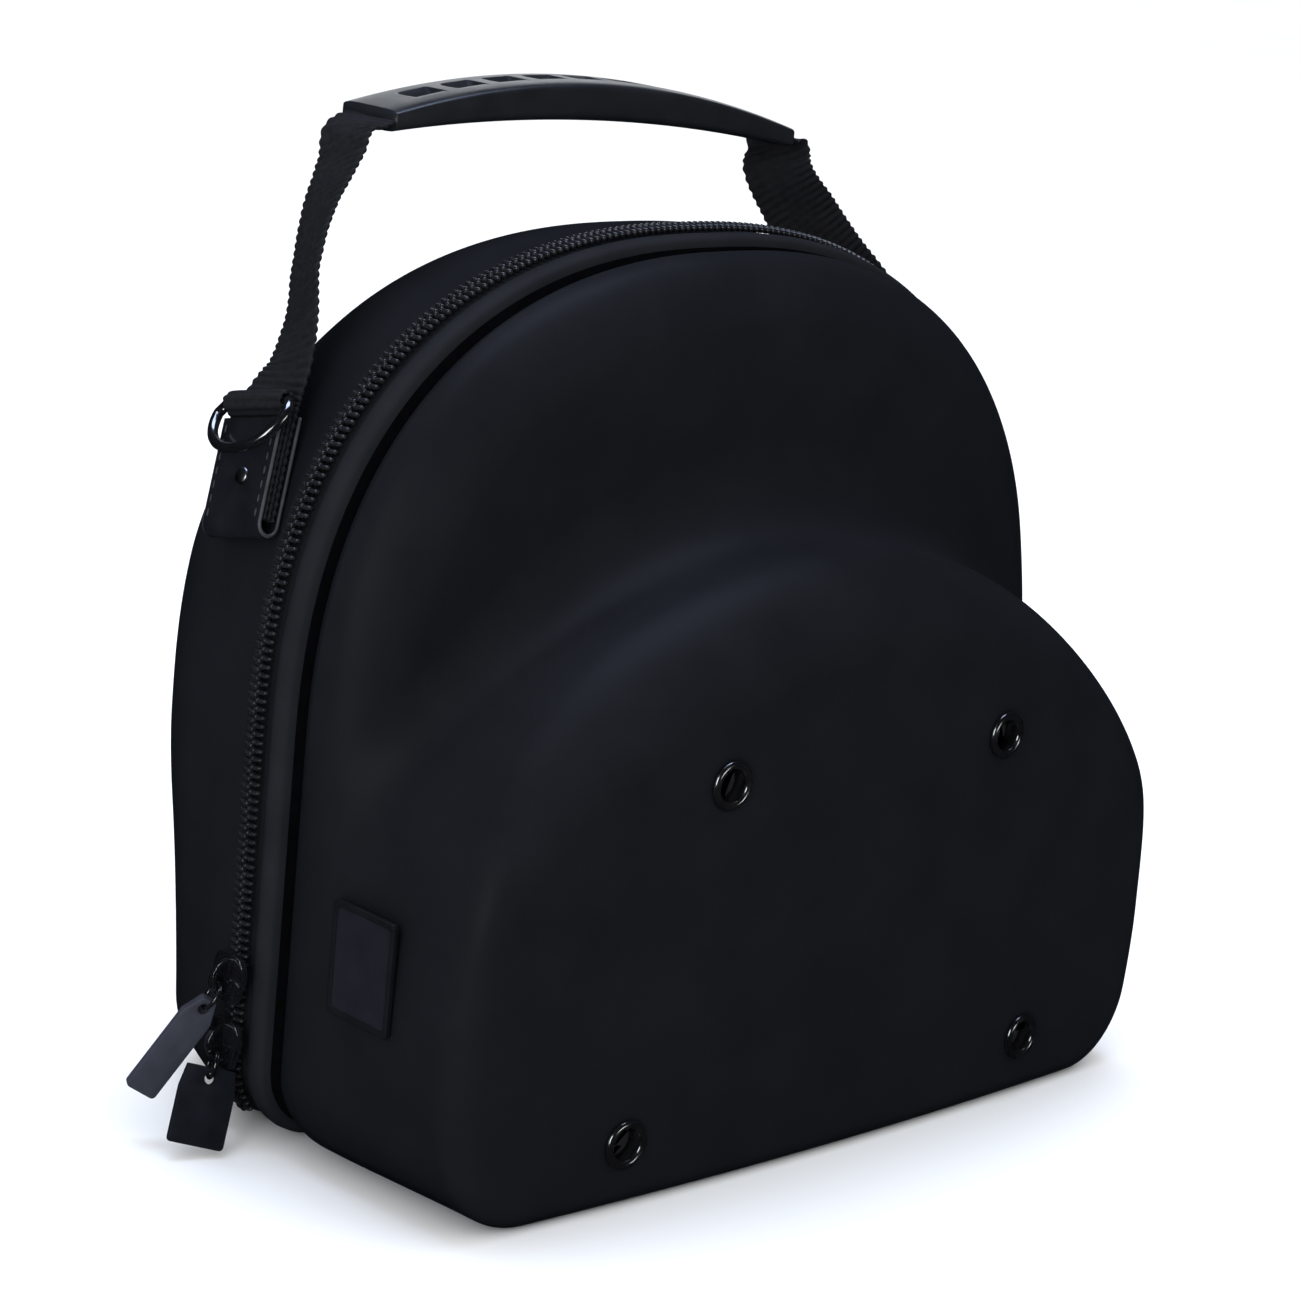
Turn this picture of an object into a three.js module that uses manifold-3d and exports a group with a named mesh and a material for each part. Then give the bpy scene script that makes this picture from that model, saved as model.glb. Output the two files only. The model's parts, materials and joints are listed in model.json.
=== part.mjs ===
// A moulded clamshell cap carrier: two hard shells on a cloth hinge, closed by a coil zip, with a webbing
// handle. Millimetres, +Z up, front towards -Y. The origin lies on the flat base of the rear shell.
import * as THREE from 'three';
import { mergeVertices } from 'three/addons/utils/BufferGeometryUtils.js';
import Module from 'manifold-3d';

const wasm = await Module();
wasm.setup();

// Driving dimensions of the case, measured from the plane of the zip
const BASE_POINT_Y = 30; // the origin lies this far behind the zip plane
const HALF_WIDTH = 154;
const HEIGHT = 269;
const ARCH_CENTRE = 124; // the sides are straight below this height
const ARCH_POWER = 2.38;
const CORNER = 26;
const WALL = 4;
const GAP = 0.3;
const FRONT = { edge: 19, inset: 3, brimDepth: 42, drop: 6, dome: 70, depth: 101.4, crown: 6, round: 11,
  baseRound: 7, baseRise: 80, topRound: 14, pinch: 5, pinchRise: 52, lean: 10, leanFrom: 90, leanRise: 80,
  leanDepth: 22 };
const BULGE = { half: 156, rise: 131, centre: 50, round: 28, sideRound: 11, roundFrom: 90, roundRise: 80,
  draft: 0.1, fillet: 26, sideFillet: 12 };
const REAR = { edge: 6, inset: 2.5, depth: 69, round: 38, baseRound: 24, baseRise: 90,
  topRound: 10, topFrom: 165, topRise: 70, pinch: 18, pinchRise: 120 };
const RAY_Z = 95; // height of the middle that the walls are measured from

// The zip and its gussets
const BAND = { outer: 2.1, inner: 4.3, seam: 0.3 };
const COIL = { width: 4.8, seam: 0.2, half: 1.5, endHeight: 9 };
const SLIDER = { length: 15, width: 14, plate: 2, bridge: 6.2, wire: 1.4, thick: 2 };
const SLIDER_HEIGHTS = { slider_upper: 51, slider_lower: 31.5 };
const PULL_RING = { radius: 4, wire: 0.7, out: 2.5, down: 1.9, slack: 0.3 };

// The handle, its anchors and the small parts
const WEBBING = { width: 25, thick: 1.6 };
const STRAP_DRAWN = 11; // the right strap sags this far towards the middle
const STRAP_TWIST = 1.85; // and twists this much more than the left one
const GRIP = {
  half: 85, width: 26, y: 53.5, end: 292.4, crest: 301, thickEnd: 6.6, thickMid: 12.5, tilt: 0.032,
};
const GRIP_OVAL = { count: 9, pitch: 16.4, half: 5.6, width: 6.4, deep: 3 };
const ANCHOR = {
  y: 19, height: 176.8, lean: 21, turn: 13, off: 0.9, tabTop: 35, fold: 4.2, leaf: 1.5, outer: 8.7,
};
const LOOP = { eye: 40, eyeOut: 7.4, hole: 2, skin: 1.4, inner: 4, outer: 7, foot: 5 };
const RING = { half: 14.9, bar: 13, drop: 17, wire: 1.6, tilt: 22 };
const EYELET = { flange: 7.6, hole: 4.9, tube: 5.6, washer: 6.9, thick: 1.4 };
const EYELETS = [
  { name: 'eyelet_top_left', x: -59.8, z: 125.8 },
  { name: 'eyelet_top_right', x: 59.8, z: 125.8 },
  { name: 'eyelet_base_left', x: -87.2, z: 20.8 },
  { name: 'eyelet_base_right', x: 87.2, z: 20.8 },
];
const PATCH = { y: -53.5, z: 71, width: 27, height: 34, thick: 1.2, border: 1.8, rise: 0.6, corner: 1.5 };

// Finishes
const CLOTH = { color: 0x15161b, roughness: 0.75, metalness: 0 };
const WOVEN = { color: 0x141417, roughness: 0.9, metalness: 0 };
const NYLON = { color: 0x111114, roughness: 0.45, metalness: 0 };
const METAL = { color: 0x101012, roughness: 0.25, metalness: 0.9 };
const VINYL = { color: 0x131318, roughness: 0.2, metalness: 0 };
const MOULDED = { color: 0x1b1d24, roughness: 0.6, metalness: 0 };

const carrier = new THREE.Group();
const fromZip = new THREE.Group();
fromZip.position.y = -BASE_POINT_Y;
carrier.add(fromZip);

function addPiece(name, geometry, finish, holder = fromZip) {
  const mesh = new THREE.Mesh(geometry, new THREE.MeshStandardMaterial(finish));
  mesh.name = name;
  holder.add(mesh);
  return mesh;
}

const mix = (a, b, t) => a + (b - a) * t;
const ease = (t) => THREE.MathUtils.smoothstep(t, 0, 1);
const { clamp } = THREE.MathUtils;
const faceY = (x) => FRONT.crown * (x / HALF_WIDTH) ** 2 - FRONT.depth; // the front face, crowned across

// Signed distance to an arch: a superellipse above its centre height, straight sides and round corners below
function arch(x, z, half, rise, centre, power, corner) {
  if (z > centre) {
    const length = Math.hypot(x, z - centre);
    const reach = ((Math.abs(x) / half) ** power + ((z - centre) / rise) ** power) ** (1 / power);
    return length < 1 ? -half : length - length / reach;
  }
  const side = Math.abs(x) - (half - corner);
  const base = corner - z;
  return Math.hypot(Math.max(side, 0), Math.max(base, 0)) + Math.min(Math.max(side, base), 0) - corner;
}

function rimArch(x, z, inset) {
  return arch(x, z, HALF_WIDTH - inset, HEIGHT - inset - ARCH_CENTRE, ARCH_CENTRE, ARCH_POWER, CORNER);
}

// Two signed distances meet in a rounded outer edge, or in a rounded inner corner
function roundEdge(a, b, r) {
  return Math.min(-r, Math.max(a, b)) + Math.hypot(Math.max(a + r, 0), Math.max(b + r, 0));
}

function roundFillet(a, b, r) {
  return Math.max(r, Math.min(a, b)) - Math.hypot(Math.max(r - a, 0), Math.max(r - b, 0));
}

// How far a wall is drawn in sideways at this height and depth: more towards the base and away from the rim
function pinchAt(half, deep, z) {
  return half.pinch * ease(1 - z / half.pinchRise) * ease((deep - half.edge) / (half.depth - half.edge));
}

// The front half: a slightly domed tier and, out of it, a bulge with a crowned face. Its upper walls lean in.
function frontForm(x, y, z) {
  const out = -y;
  const side = mix(FRONT.baseRound, FRONT.round, ease(z / FRONT.baseRise));
  const edge = mix(side, FRONT.topRound, ease((z - RAY_Z) / (HEIGHT - ARCH_CENTRE)));
  const fillet = mix(BULGE.fillet, BULGE.sideFillet, ease(Math.abs(x) / HALF_WIDTH));
  const lowest = 0.9 * BULGE.centre;
  const hood = arch(x, Math.max(z, lowest), BULGE.half, BULGE.rise, BULGE.centre, 2, CORNER);
  const crest = mix(BULGE.sideRound, BULGE.round, ease((z - BULGE.roundFrom) / BULGE.roundRise));
  const bulge = roundEdge(out + faceY(x), hood + BULGE.draft * (out - FRONT.depth), crest);
  const nearRim = clamp(1 + rimArch(x, z, FRONT.inset) / FRONT.dome, 0, 1);
  const tier = out - FRONT.brimDepth + FRONT.drop * nearRim ** 2;
  const lean = FRONT.lean * ease((z - FRONT.leanFrom) / FRONT.leanRise)
    * clamp((out - FRONT.edge) / FRONT.leanDepth, 0, 1);
  const wall = rimArch(Math.abs(x) + pinchAt(FRONT, out, z), z, FRONT.inset + lean);
  return roundEdge(roundFillet(tier, bulge, fillet), wall, edge);
}

function rearForm(x, y, z) {
  const edge = mix(REAR.baseRound, REAR.round, ease(z / REAR.baseRise))
    + REAR.topRound * ease((z - REAR.topFrom) / REAR.topRise);
  return roundEdge(y - REAR.depth, rimArch(Math.abs(x) + pinchAt(REAR, y, z), z, REAR.inset), edge);
}

// The point where a ray from the middle meets a form, sunk by the given depth, found by halving
function rayHit(form, origin, direction, sunk) {
  let near = 0;
  let far = 2 * HEIGHT;
  for (let i = 0; i < 48; i += 1) {
    const half = (near + far) / 2;
    const p = origin.clone().addScaledVector(direction, half);
    if (form(p.x, p.y, p.z) > -sunk) far = half;
    else near = half;
  }
  return origin.clone().addScaledVector(direction, near);
}

// Points spread along a finely sampled curve, evenly by length and closer together where it bends
const BEND_WEIGHT = 30;
function spreadEvenly(points, count, closed = false) {
  const steps = points.slice(1).map((p, i) => p.clone().sub(points[i]));
  const bends = steps.map((step, i) => (i > 0 ? step.angleTo(steps[i - 1]) : 0));
  const reached = [0];
  steps.forEach((step, i) => reached.push(reached[i] + step.length() + BEND_WEIGHT * bends[i]));
  const total = reached[reached.length - 1];
  return Array.from({ length: count }, (_, k) => {
    const wanted = (total * k) / (closed ? count : count - 1);
    const after = Math.max(1, reached.findIndex((v) => v >= wanted - 1e-9));
    const part = (wanted - reached[after - 1]) / (reached[after] - reached[after - 1]);
    return points[after - 1].clone().lerp(points[after], part);
  });
}

// A closed skin over rings of points. Single points close the ends; ring: true joins the last to the first.
function skin(rings, { loop = false } = {}) {
  const positions = [];
  const starts = rings.map((ring) => {
    const start = positions.length / 3;
    ring.forEach((p) => positions.push(p.x, p.y, p.z));
    return start;
  });
  const index = [];
  const band = (a, b) => {
    const n = Math.max(rings[a].length, rings[b].length);
    for (let i = 0; i < n; i += 1) {
      const j = (i + 1) % n;
      const [a0, a1] = rings[a].length === 1 ? [0, 0] : [i, j];
      const [b0, b1] = rings[b].length === 1 ? [0, 0] : [i, j];
      const [near, far] = [rings[a][a0].distanceTo(rings[b][b1]), rings[a][a1].distanceTo(rings[b][b0])];
      const turned = a0 !== a1 && b0 !== b1 && far < near - 1e-6;
      if (a0 !== a1) index.push(starts[a] + a0, starts[a] + a1, starts[b] + (turned ? b0 : b1));
      if (b0 !== b1) index.push(starts[a] + (turned ? a1 : a0), starts[b] + b1, starts[b] + b0);
    }
  };
  for (let k = 0; k + 1 < rings.length; k += 1) band(k, k + 1);
  if (loop) band(rings.length - 1, 0);
  const geometry = new THREE.BufferGeometry();
  geometry.setAttribute('position', new THREE.Float32BufferAttribute(positions, 3));
  geometry.setIndex(index);
  if (volumeOf(geometry) < 0) geometry.setIndex(index.reverse());
  geometry.computeVertexNormals();
  return geometry;
}

function volumeOf(geometry) {
  const { position } = geometry.attributes;
  const corner = (i) => new THREE.Vector3().fromBufferAttribute(position, geometry.index.getX(i));
  let sum = 0;
  for (let i = 0; i < geometry.index.count; i += 3) sum += corner(i).dot(corner(i + 1).cross(corner(i + 2)));
  return sum;
}

// A skin whose first and last rings are filled from their middles
function cappedSkin(rings) {
  const middle = (ring) => ring.reduce((sum, p) => sum.add(p), new THREE.Vector3()).divideScalar(ring.length);
  return skin([[middle(rings[0])], ...rings, [middle(rings[rings.length - 1])]]);
}

// Boolean cuts and joins on closed geometry
function toSolid(geometry) {
  const plain = geometry.clone();
  plain.deleteAttribute('normal');
  plain.deleteAttribute('uv');
  const merged = mergeVertices(plain, 1e-4);
  return new wasm.Manifold(new wasm.Mesh({
    numProp: 3,
    vertProperties: new Float32Array(merged.attributes.position.array),
    triVerts: new Uint32Array(merged.index.array),
  }));
}

function toGeometry(solid) {
  const mesh = solid.getMesh();
  const geometry = new THREE.BufferGeometry();
  geometry.setAttribute('position', new THREE.Float32BufferAttribute(mesh.vertProperties, 3));
  geometry.setIndex([...mesh.triVerts]);
  geometry.computeVertexNormals();
  return geometry;
}

const cutAll = (geometry, cutters) =>
  toGeometry(cutters.reduce((solid, cutter) => solid.subtract(toSolid(cutter)), toSolid(geometry)));
const joinAll = (geometries) => toGeometry(geometries.map(toSolid).reduce((a, b) => a.add(b)));

// Shells: outer wall, rim and inner wall as one skin, each meridian spread evenly from the rim to the middle
const SHELL_TURNS = 48;
const SHELL_ROWS = 14;
const FINE = 120;

function rimAngles(form, origin) {
  const rim = [];
  for (let i = 0; i <= 4 * FINE; i += 1) {
    const a = (2 * Math.PI * i) / (4 * FINE);
    rim.push(rayHit(form, origin, new THREE.Vector3(Math.cos(a), 0, Math.sin(a)), 0));
  }
  return spreadEvenly(rim, SHELL_TURNS, true).map((p) => Math.atan2(p.z - origin.z, p.x - origin.x));
}

function shell(form, edgeY, facing) {
  const origin = new THREE.Vector3(0, edgeY, RAY_Z);
  const walls = [0, WALL].map((sunk) => rimAngles(form, origin).map((a) => {
    const line = [];
    for (let k = 0; k <= FINE; k += 1) {
      const lift = (0.5 * Math.PI * k) / FINE;
      const flat = Math.cos(lift);
      const ray = new THREE.Vector3(flat * Math.cos(a), facing * Math.sin(lift), flat * Math.sin(a));
      line.push(rayHit(form, origin, ray, sunk));
    }
    return spreadEvenly(line, SHELL_ROWS + 1);
  }));
  const ringsOf = (meridians) => {
    const rings = [];
    for (let row = 0; row < SHELL_ROWS; row += 1) rings.push(meridians.map((line) => line[row]));
    rings.push([meridians[0][SHELL_ROWS]]);
    return rings;
  };
  const [outer, inner] = walls.map(ringsOf);
  return skin([...outer.reverse(), ...inner]);
}

const eyeletHoles = EYELETS.map(({ x, z }) => {
  const hole = new THREE.CylinderGeometry(EYELET.tube + GAP, EYELET.tube + GAP, 4 * WALL, 16);
  return hole.translate(x, faceY(x), z);
});
addPiece('back_shell', shell(rearForm, REAR.edge, 1), CLOTH);
addPiece('front_shell', cutAll(shell(frontForm, -FRONT.edge, -1), eyeletHoles), CLOTH);

// Vent eyelets: an outer flange, a tube through the wall and an inner washer, turned about the hole's axis
function eyelet() {
  const inside = -WALL - 3 * GAP;
  const profile = [
    [EYELET.hole, EYELET.thick * 0.6], [EYELET.hole + 0.8, EYELET.thick + GAP],
    [EYELET.flange - 0.8, EYELET.thick], [EYELET.flange, GAP], [EYELET.tube, GAP],
    [EYELET.tube, inside], [EYELET.washer, inside],
    [EYELET.washer, inside - 0.8], [EYELET.hole, inside - 0.8], [EYELET.hole, EYELET.thick * 0.6],
  ].map(([r, h]) => new THREE.Vector2(r, h));
  return new THREE.LatheGeometry(profile.reverse(), 12).rotateX(Math.PI);
}
EYELETS.forEach(({ name, x, z }) => {
  const mesh = addPiece(name, eyelet(), METAL);
  mesh.position.set(x, faceY(x), z);
  mesh.rotation.z = Math.atan((2 * FRONT.crown * x) / HALF_WIDTH ** 2);
});

// Zip gussets and coil: a section carried along the rim, sunk from the zip's centre line
const RIM_STEPS = 60;
const COIL_STEPS = 52;
const rimPoint = (angle, sunk) => {
  const ray = new THREE.Vector3(Math.cos(angle), 0, Math.sin(angle));
  return rayHit((x, y, z) => rimArch(x, z, 0), new THREE.Vector3(0, 0, RAY_Z), ray, sunk);
};
const rimLine = Array.from({ length: 4 * FINE + 1 }, (_, i) => rimPoint((Math.PI * i) / (2 * FINE), 0));
const angleOf = (p) => Math.atan2(p.z - RAY_Z, p.x);

function alongRim(angles, section) {
  return angles.map((a) => section.map(([sunk, y]) => rimPoint(a, sunk).setY(y)));
}

const rimRound = spreadEvenly(rimLine, RIM_STEPS, true).map(angleOf);
const bandSection = (y0, y1) => [[BAND.outer, y0], [BAND.outer, y1], [BAND.inner, y1], [BAND.inner, y0]];
const backBand = bandSection(BAND.seam, REAR.edge - GAP);
const frontBand = bandSection(GAP - FRONT.edge, -BAND.seam);
addPiece('back_band', skin(alongRim(rimRound, backBand), { loop: true }), WOVEN);
addPiece('front_band', skin(alongRim(rimRound, frontBand), { loop: true }), WOVEN);

// The coil runs from low on the right over the top to low on the left
const coilStart = Math.min(...rimLine.filter((p) => p.x > 0 && p.z > COIL.endHeight).map(angleOf));
const coilLine = Array.from({ length: 3 * FINE + 1 }, (_, i) =>
  rimPoint(mix(coilStart, Math.PI - coilStart, i / (3 * FINE)), 0));
const coilAngles = spreadEvenly(coilLine, COIL_STEPS).map(angleOf);
const coilSection = (side) => [
  [COIL.half, COIL.seam], [-0.5 * COIL.half, COIL.seam], [-COIL.half, 0.5 * COIL.width],
  [-0.2 * COIL.half, COIL.width], [COIL.half, COIL.width],
].map(([sunk, y]) => [sunk, side * y]);
addPiece('zip_coil_back', cappedSkin(alongRim(coilAngles, coilSection(1))), NYLON);
addPiece('zip_coil_front', cappedSkin(alongRim(coilAngles, coilSection(-1))), NYLON);

// Sliders: a plate over the coil with a bridge for the pull. Local +X points outwards, +Z up along the zip.
function slider() {
  const { length, width, plate, bridge, wire, thick } = SLIDER;
  const under = COIL.half + GAP;
  const top = under + plate;
  const outline = new THREE.Shape();
  outline.moveTo(-0.3 * width, -length / 2);
  outline.lineTo(0.3 * width, -length / 2);
  outline.lineTo(width / 2, 0.1 * length);
  outline.quadraticCurveTo(width / 2, length / 2, 0.2 * width, length / 2);
  outline.lineTo(-0.2 * width, length / 2);
  outline.quadraticCurveTo(-width / 2, length / 2, -width / 2, 0.1 * length);
  const cover = new THREE.ExtrudeGeometry(outline, { depth: plate, bevelEnabled: false, curveSegments: 3 });
  cover.applyMatrix4(new THREE.Matrix4().makeBasis(
    new THREE.Vector3(0, 1, 0), new THREE.Vector3(0, 0, 1), new THREE.Vector3(1, 0, 0)));
  cover.translate(under, 0, 0);
  const arc = new THREE.Shape();
  arc.moveTo(-bridge, top - 0.5);
  arc.quadraticCurveTo(-bridge, top + bridge, 0, top + bridge);
  arc.quadraticCurveTo(bridge, top + bridge, bridge, top - 0.5);
  const eye = new THREE.Path();
  const sill = top + 0.4;
  eye.moveTo(wire - bridge, sill);
  eye.lineTo(bridge - wire, sill);
  eye.quadraticCurveTo(bridge - wire, top + bridge - wire, 0, top + bridge - wire);
  eye.quadraticCurveTo(wire - bridge, top + bridge - wire, wire - bridge, sill);
  arc.holes.push(eye);
  const loop = new THREE.ExtrudeGeometry(arc, { depth: thick, bevelEnabled: false, curveSegments: 4 });
  loop.translate(0, 0, -thick / 2);
  loop.applyMatrix4(new THREE.Matrix4().makeBasis(
    new THREE.Vector3(0, 0, 1), new THREE.Vector3(1, 0, 0), new THREE.Vector3(0, 1, 0)));
  return joinAll([cover, loop]);
}

function sliderSeat(height) {
  const leftDown = rimLine.filter((p) => p.x < 0 && p.z < ARCH_CENTRE);
  const seat = leftDown.reduce((best, p) => (Math.abs(p.z - height) < Math.abs(best.z - height) ? p : best));
  const bend = Math.max(0, Math.asin((CORNER - Math.min(seat.z, CORNER)) / CORNER));
  return { seat, turn: Math.PI + bend };
}

const sliderEyes = {};
Object.entries(SLIDER_HEIGHTS).forEach(([name, height]) => {
  const { seat, turn } = sliderSeat(height);
  const mesh = addPiece(name, slider(), METAL);
  const out = new THREE.Vector3(Math.cos(turn), 0, -Math.abs(Math.sin(turn)));
  const up = new THREE.Vector3(out.z, 0, -out.x);
  mesh.position.copy(seat);
  mesh.rotation.setFromRotationMatrix(new THREE.Matrix4().makeBasis(out, new THREE.Vector3(0, 1, 0), up));
  const reach = COIL.half + GAP + SLIDER.plate + PULL_RING.out;
  sliderEyes[name] = seat.clone().addScaledVector(out, reach).addScaledVector(up, -PULL_RING.down);
});

// Pulls: a wire ring through the slider's bridge carries a tab. They hang a little out and apart.
const PULLS = [
  { ring: 'pull_ring_upper', tab: 'pull_tab_long', slider: 'slider_upper',
    hang: [-0.42, 0.33, -0.85], turn: 24,
    width: 10, length: 32, thick: 3, neck: 0.45 },
  { ring: 'pull_ring_lower', tab: 'pull_tab_square', slider: 'slider_lower',
    hang: [-0.36, -0.22, -0.9], turn: 26,
    width: 17, length: 20, thick: 2.4, neck: 0.85 },
];
const TAB_HOLE = 1.7;

function ringAlong(path, wire, sides) {
  const count = path.length;
  return path.map((p, i) => {
    const tangent = path[(i + 1) % count].clone().sub(path[(i + count - 1) % count]).normalize();
    const across = new THREE.Vector3().crossVectors(tangent, path.normal).normalize();
    return Array.from({ length: sides }, (_, k) => {
      const a = (2 * Math.PI * (k + 0.5)) / sides;
      const sideways = p.clone().addScaledVector(across, wire * Math.cos(a));
      return sideways.addScaledVector(path.normal, wire * Math.sin(a));
    });
  });
}

function pullTab({ width, length, thick, neck }) {
  const shape = new THREE.Shape();
  const top = TAB_HOLE + 1.6;
  shape.moveTo(-width / 2, -length + 1.5);
  shape.quadraticCurveTo(-width / 2, -length, -width / 2 + 1.5, -length);
  shape.lineTo(width / 2 - 1.5, -length);
  shape.quadraticCurveTo(width / 2, -length, width / 2, -length + 1.5);
  shape.lineTo(width / 2, -3.5);
  shape.lineTo((neck * width) / 2, top);
  shape.lineTo((-neck * width) / 2, top);
  shape.lineTo(-width / 2, -3.5);
  const hole = new THREE.Path();
  hole.absarc(0, 0, TAB_HOLE, 0, 2 * Math.PI, true);
  shape.holes.push(hole);
  const tab = new THREE.ExtrudeGeometry(shape, { depth: thick, bevelEnabled: false, curveSegments: 5 });
  return tab.translate(0, 0, -thick / 2);
}

PULLS.forEach((pull) => {
  const hang = new THREE.Vector3(...pull.hang).normalize();
  const turn = THREE.MathUtils.degToRad(pull.turn);
  const eye = sliderEyes[pull.slider];
  const ringAcross = new THREE.Vector3(Math.sin(turn), Math.cos(turn), 0);
  ringAcross.addScaledVector(hang, -ringAcross.dot(hang)).normalize();
  const face = ringAcross.clone().negate();
  const along = new THREE.Vector3().crossVectors(face, hang);
  const middle = eye.clone().addScaledVector(hang, PULL_RING.radius);
  const path = Array.from({ length: 16 }, (_, i) => {
    const a = (2 * Math.PI * i) / 16;
    return middle.clone().addScaledVector(hang, -PULL_RING.radius * Math.cos(a))
      .addScaledVector(ringAcross, PULL_RING.radius * Math.sin(a));
  });
  path.normal = new THREE.Vector3().crossVectors(hang, ringAcross).normalize();
  addPiece(pull.ring, skin(ringAlong(path, PULL_RING.wire, 6), { loop: true }), METAL);
  const tab = addPiece(pull.tab, pullTab(pull), MOULDED);
  tab.position.copy(eye).addScaledVector(hang, 2 * PULL_RING.radius + PULL_RING.slack);
  tab.rotation.setFromRotationMatrix(new THREE.Matrix4().makeBasis(along, hang.clone().negate(), face));
});

// Anchors on both sides of the rear shell, turned so that each tab points up and back along its strap
function anchorFrame(side) {
  const middle = new THREE.Vector3(0, ANCHOR.y, ANCHOR.height);
  const seat = rayHit(rearForm, middle, new THREE.Vector3(side, 0, 0), 0);
  const lean = THREE.MathUtils.degToRad(ANCHOR.lean);
  const turn = THREE.MathUtils.degToRad(ANCHOR.turn);
  const out = new THREE.Vector3(side * Math.cos(lean), 0, Math.sin(lean));
  const up = new THREE.Vector3(-side * Math.sin(lean), Math.tan(turn), Math.cos(lean)).normalize();
  const across = new THREE.Vector3().crossVectors(out, up).multiplyScalar(-side);
  seat.addScaledVector(out, ANCHOR.off);
  const at = (n, y, t) => (
    seat.clone().addScaledVector(out, n).addScaledVector(across, y).addScaledVector(up, t)
  );
  return { seat, out, up, across, at };
}

// A flat outline in the anchor's own plane, given as (out, up), carried across the webbing's width
function acrossAnchor(shape, frame, width, segments) {
  const stretch = { depth: width, bevelEnabled: false, curveSegments: segments };
  const solid = new THREE.ExtrudeGeometry(shape, stretch);
  solid.translate(0, 0, -width / 2);
  const across = new THREE.Vector3().crossVectors(frame.out, frame.up);
  solid.applyMatrix4(new THREE.Matrix4().makeBasis(frame.out, frame.up, across));
  return solid.translate(...frame.seat);
}

function tabShape() {
  const { tabTop, fold, leaf, outer } = ANCHOR;
  const middle = GAP + fold;
  const shape = new THREE.Shape();
  shape.moveTo(GAP, tabTop + 2);
  shape.lineTo(GAP, fold);
  shape.absarc(middle, fold, fold, Math.PI, 2 * Math.PI, false);
  shape.lineTo(outer, tabTop);
  shape.lineTo(outer - leaf, tabTop);
  shape.lineTo(outer - leaf, fold);
  shape.absarc(middle, fold, fold - leaf, 2 * Math.PI, Math.PI, true);
  shape.lineTo(GAP + leaf, tabTop + 2);
  return shape;
}

function loopShape() {
  const { eye, eyeOut, hole, skin: cloth, inner, outer, foot } = LOOP;
  const shape = new THREE.Shape();
  shape.moveTo(inner, foot);
  shape.lineTo(inner, eye);
  shape.absarc(eyeOut, eye, hole + cloth, Math.PI, 0, true);
  shape.lineTo(outer, ANCHOR.tabTop + 2 * GAP);
  shape.lineTo(outer, foot);
  const bore = new THREE.Path();
  bore.absarc(eyeOut, eye, hole, 0, 2 * Math.PI, false);
  shape.holes.push(bore);
  return shape;
}

function dRing(frame) {
  const tilt = THREE.MathUtils.degToRad(RING.tilt);
  const down = frame.out.clone().multiplyScalar(Math.sin(tilt)).addScaledVector(frame.up, -Math.cos(tilt));
  const eye = frame.at(LOOP.eyeOut, 0, LOOP.eye);
  const at = (side, drop) => eye.clone().addScaledVector(down, drop).addScaledVector(frame.across, side);
  const bend = [0.5, 1.5, 2.5, 3.5, 4.5, 5.5, 6.5, 7.5, 8.5, 9.5, 10.5, 11.5].map((k) => (Math.PI * k) / 12);
  const bow = bend.map((a) => at(RING.half * Math.cos(a), 2 + (RING.drop - 2) * Math.sin(a)));
  const path = [at(-RING.bar, 0), at(-RING.bar / 3, 0), at(RING.bar / 3, 0), at(RING.bar, 0), ...bow];
  path.normal = new THREE.Vector3().crossVectors(down, frame.across).normalize();
  return skin(ringAlong(path, RING.wire, 8), { loop: true });
}

// Handle straps: a flat webbing section carried from between the tab's leaves to the grip, twisting a little
const gripLine = (x) => mix(GRIP.crest, GRIP.end, (x / GRIP.half) ** 2) - GRIP.tilt * x;

function strap(frame, side) {
  const middle = 0.5 * (ANCHOR.leaf + 2 * GAP + LOOP.inner);
  const end = new THREE.Vector3(side * (GRIP.half + 4 * GAP), GRIP.y, gripLine(side * GRIP.half));
  const drop = (z) => GRIP.tilt * side * GRIP.half * ease((z - 220) / 70);
  const out = (x, y, z) => new THREE.Vector3(side * x, y, z - drop(z));
  const drawn = side > 0 ? STRAP_DRAWN : 0;
  const route = new THREE.CatmullRomCurve3([
    frame.at(middle, 0, LOOP.foot), frame.at(middle, 0, 20), frame.at(middle, 0, 34),
    frame.at(middle - 0.35, 0, 41), out(127.9, 29, 227), out(122.8 - 0.4 * drawn, 32.3, 237.5),
    out(116.6 - drawn, 39, 251.8), out(107.5 - drawn, 45.8, 266.9), out(96.8 - 0.7 * drawn, 50.8, 281.3),
    out(91.8 - 0.2 * drawn, 53.5, 288.9), end,
  ], false, 'centripetal');
  const steps = 22;
  const leans = [0, 0, 0, 0, 14, 20, 24, 25, 22, 17, 8, 0];
  const twist = side > 0 ? STRAP_TWIST : 1;
  return cappedSkin(route.getSpacedPoints(steps).map((p, i) => {
    const tangent = route.getTangentAt(i / steps);
    const at = (i / steps) * (leans.length - 1);
    const turn = THREE.MathUtils.degToRad(twist * mix(leans[Math.floor(at)], leans[Math.ceil(at)], at % 1));
    const across = new THREE.Vector3(-side * Math.sin(turn), Math.cos(turn), 0);
    across.addScaledVector(tangent, -across.dot(tangent)).normalize();
    const through = new THREE.Vector3().crossVectors(tangent, across);
    return [[-1, -1], [1, -1], [1, 1], [-1, 1]].map(([w, h]) => p.clone()
      .addScaledVector(across, (w * WEBBING.width) / 2).addScaledVector(through, (h * WEBBING.thick) / 2));
  }));
}

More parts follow.
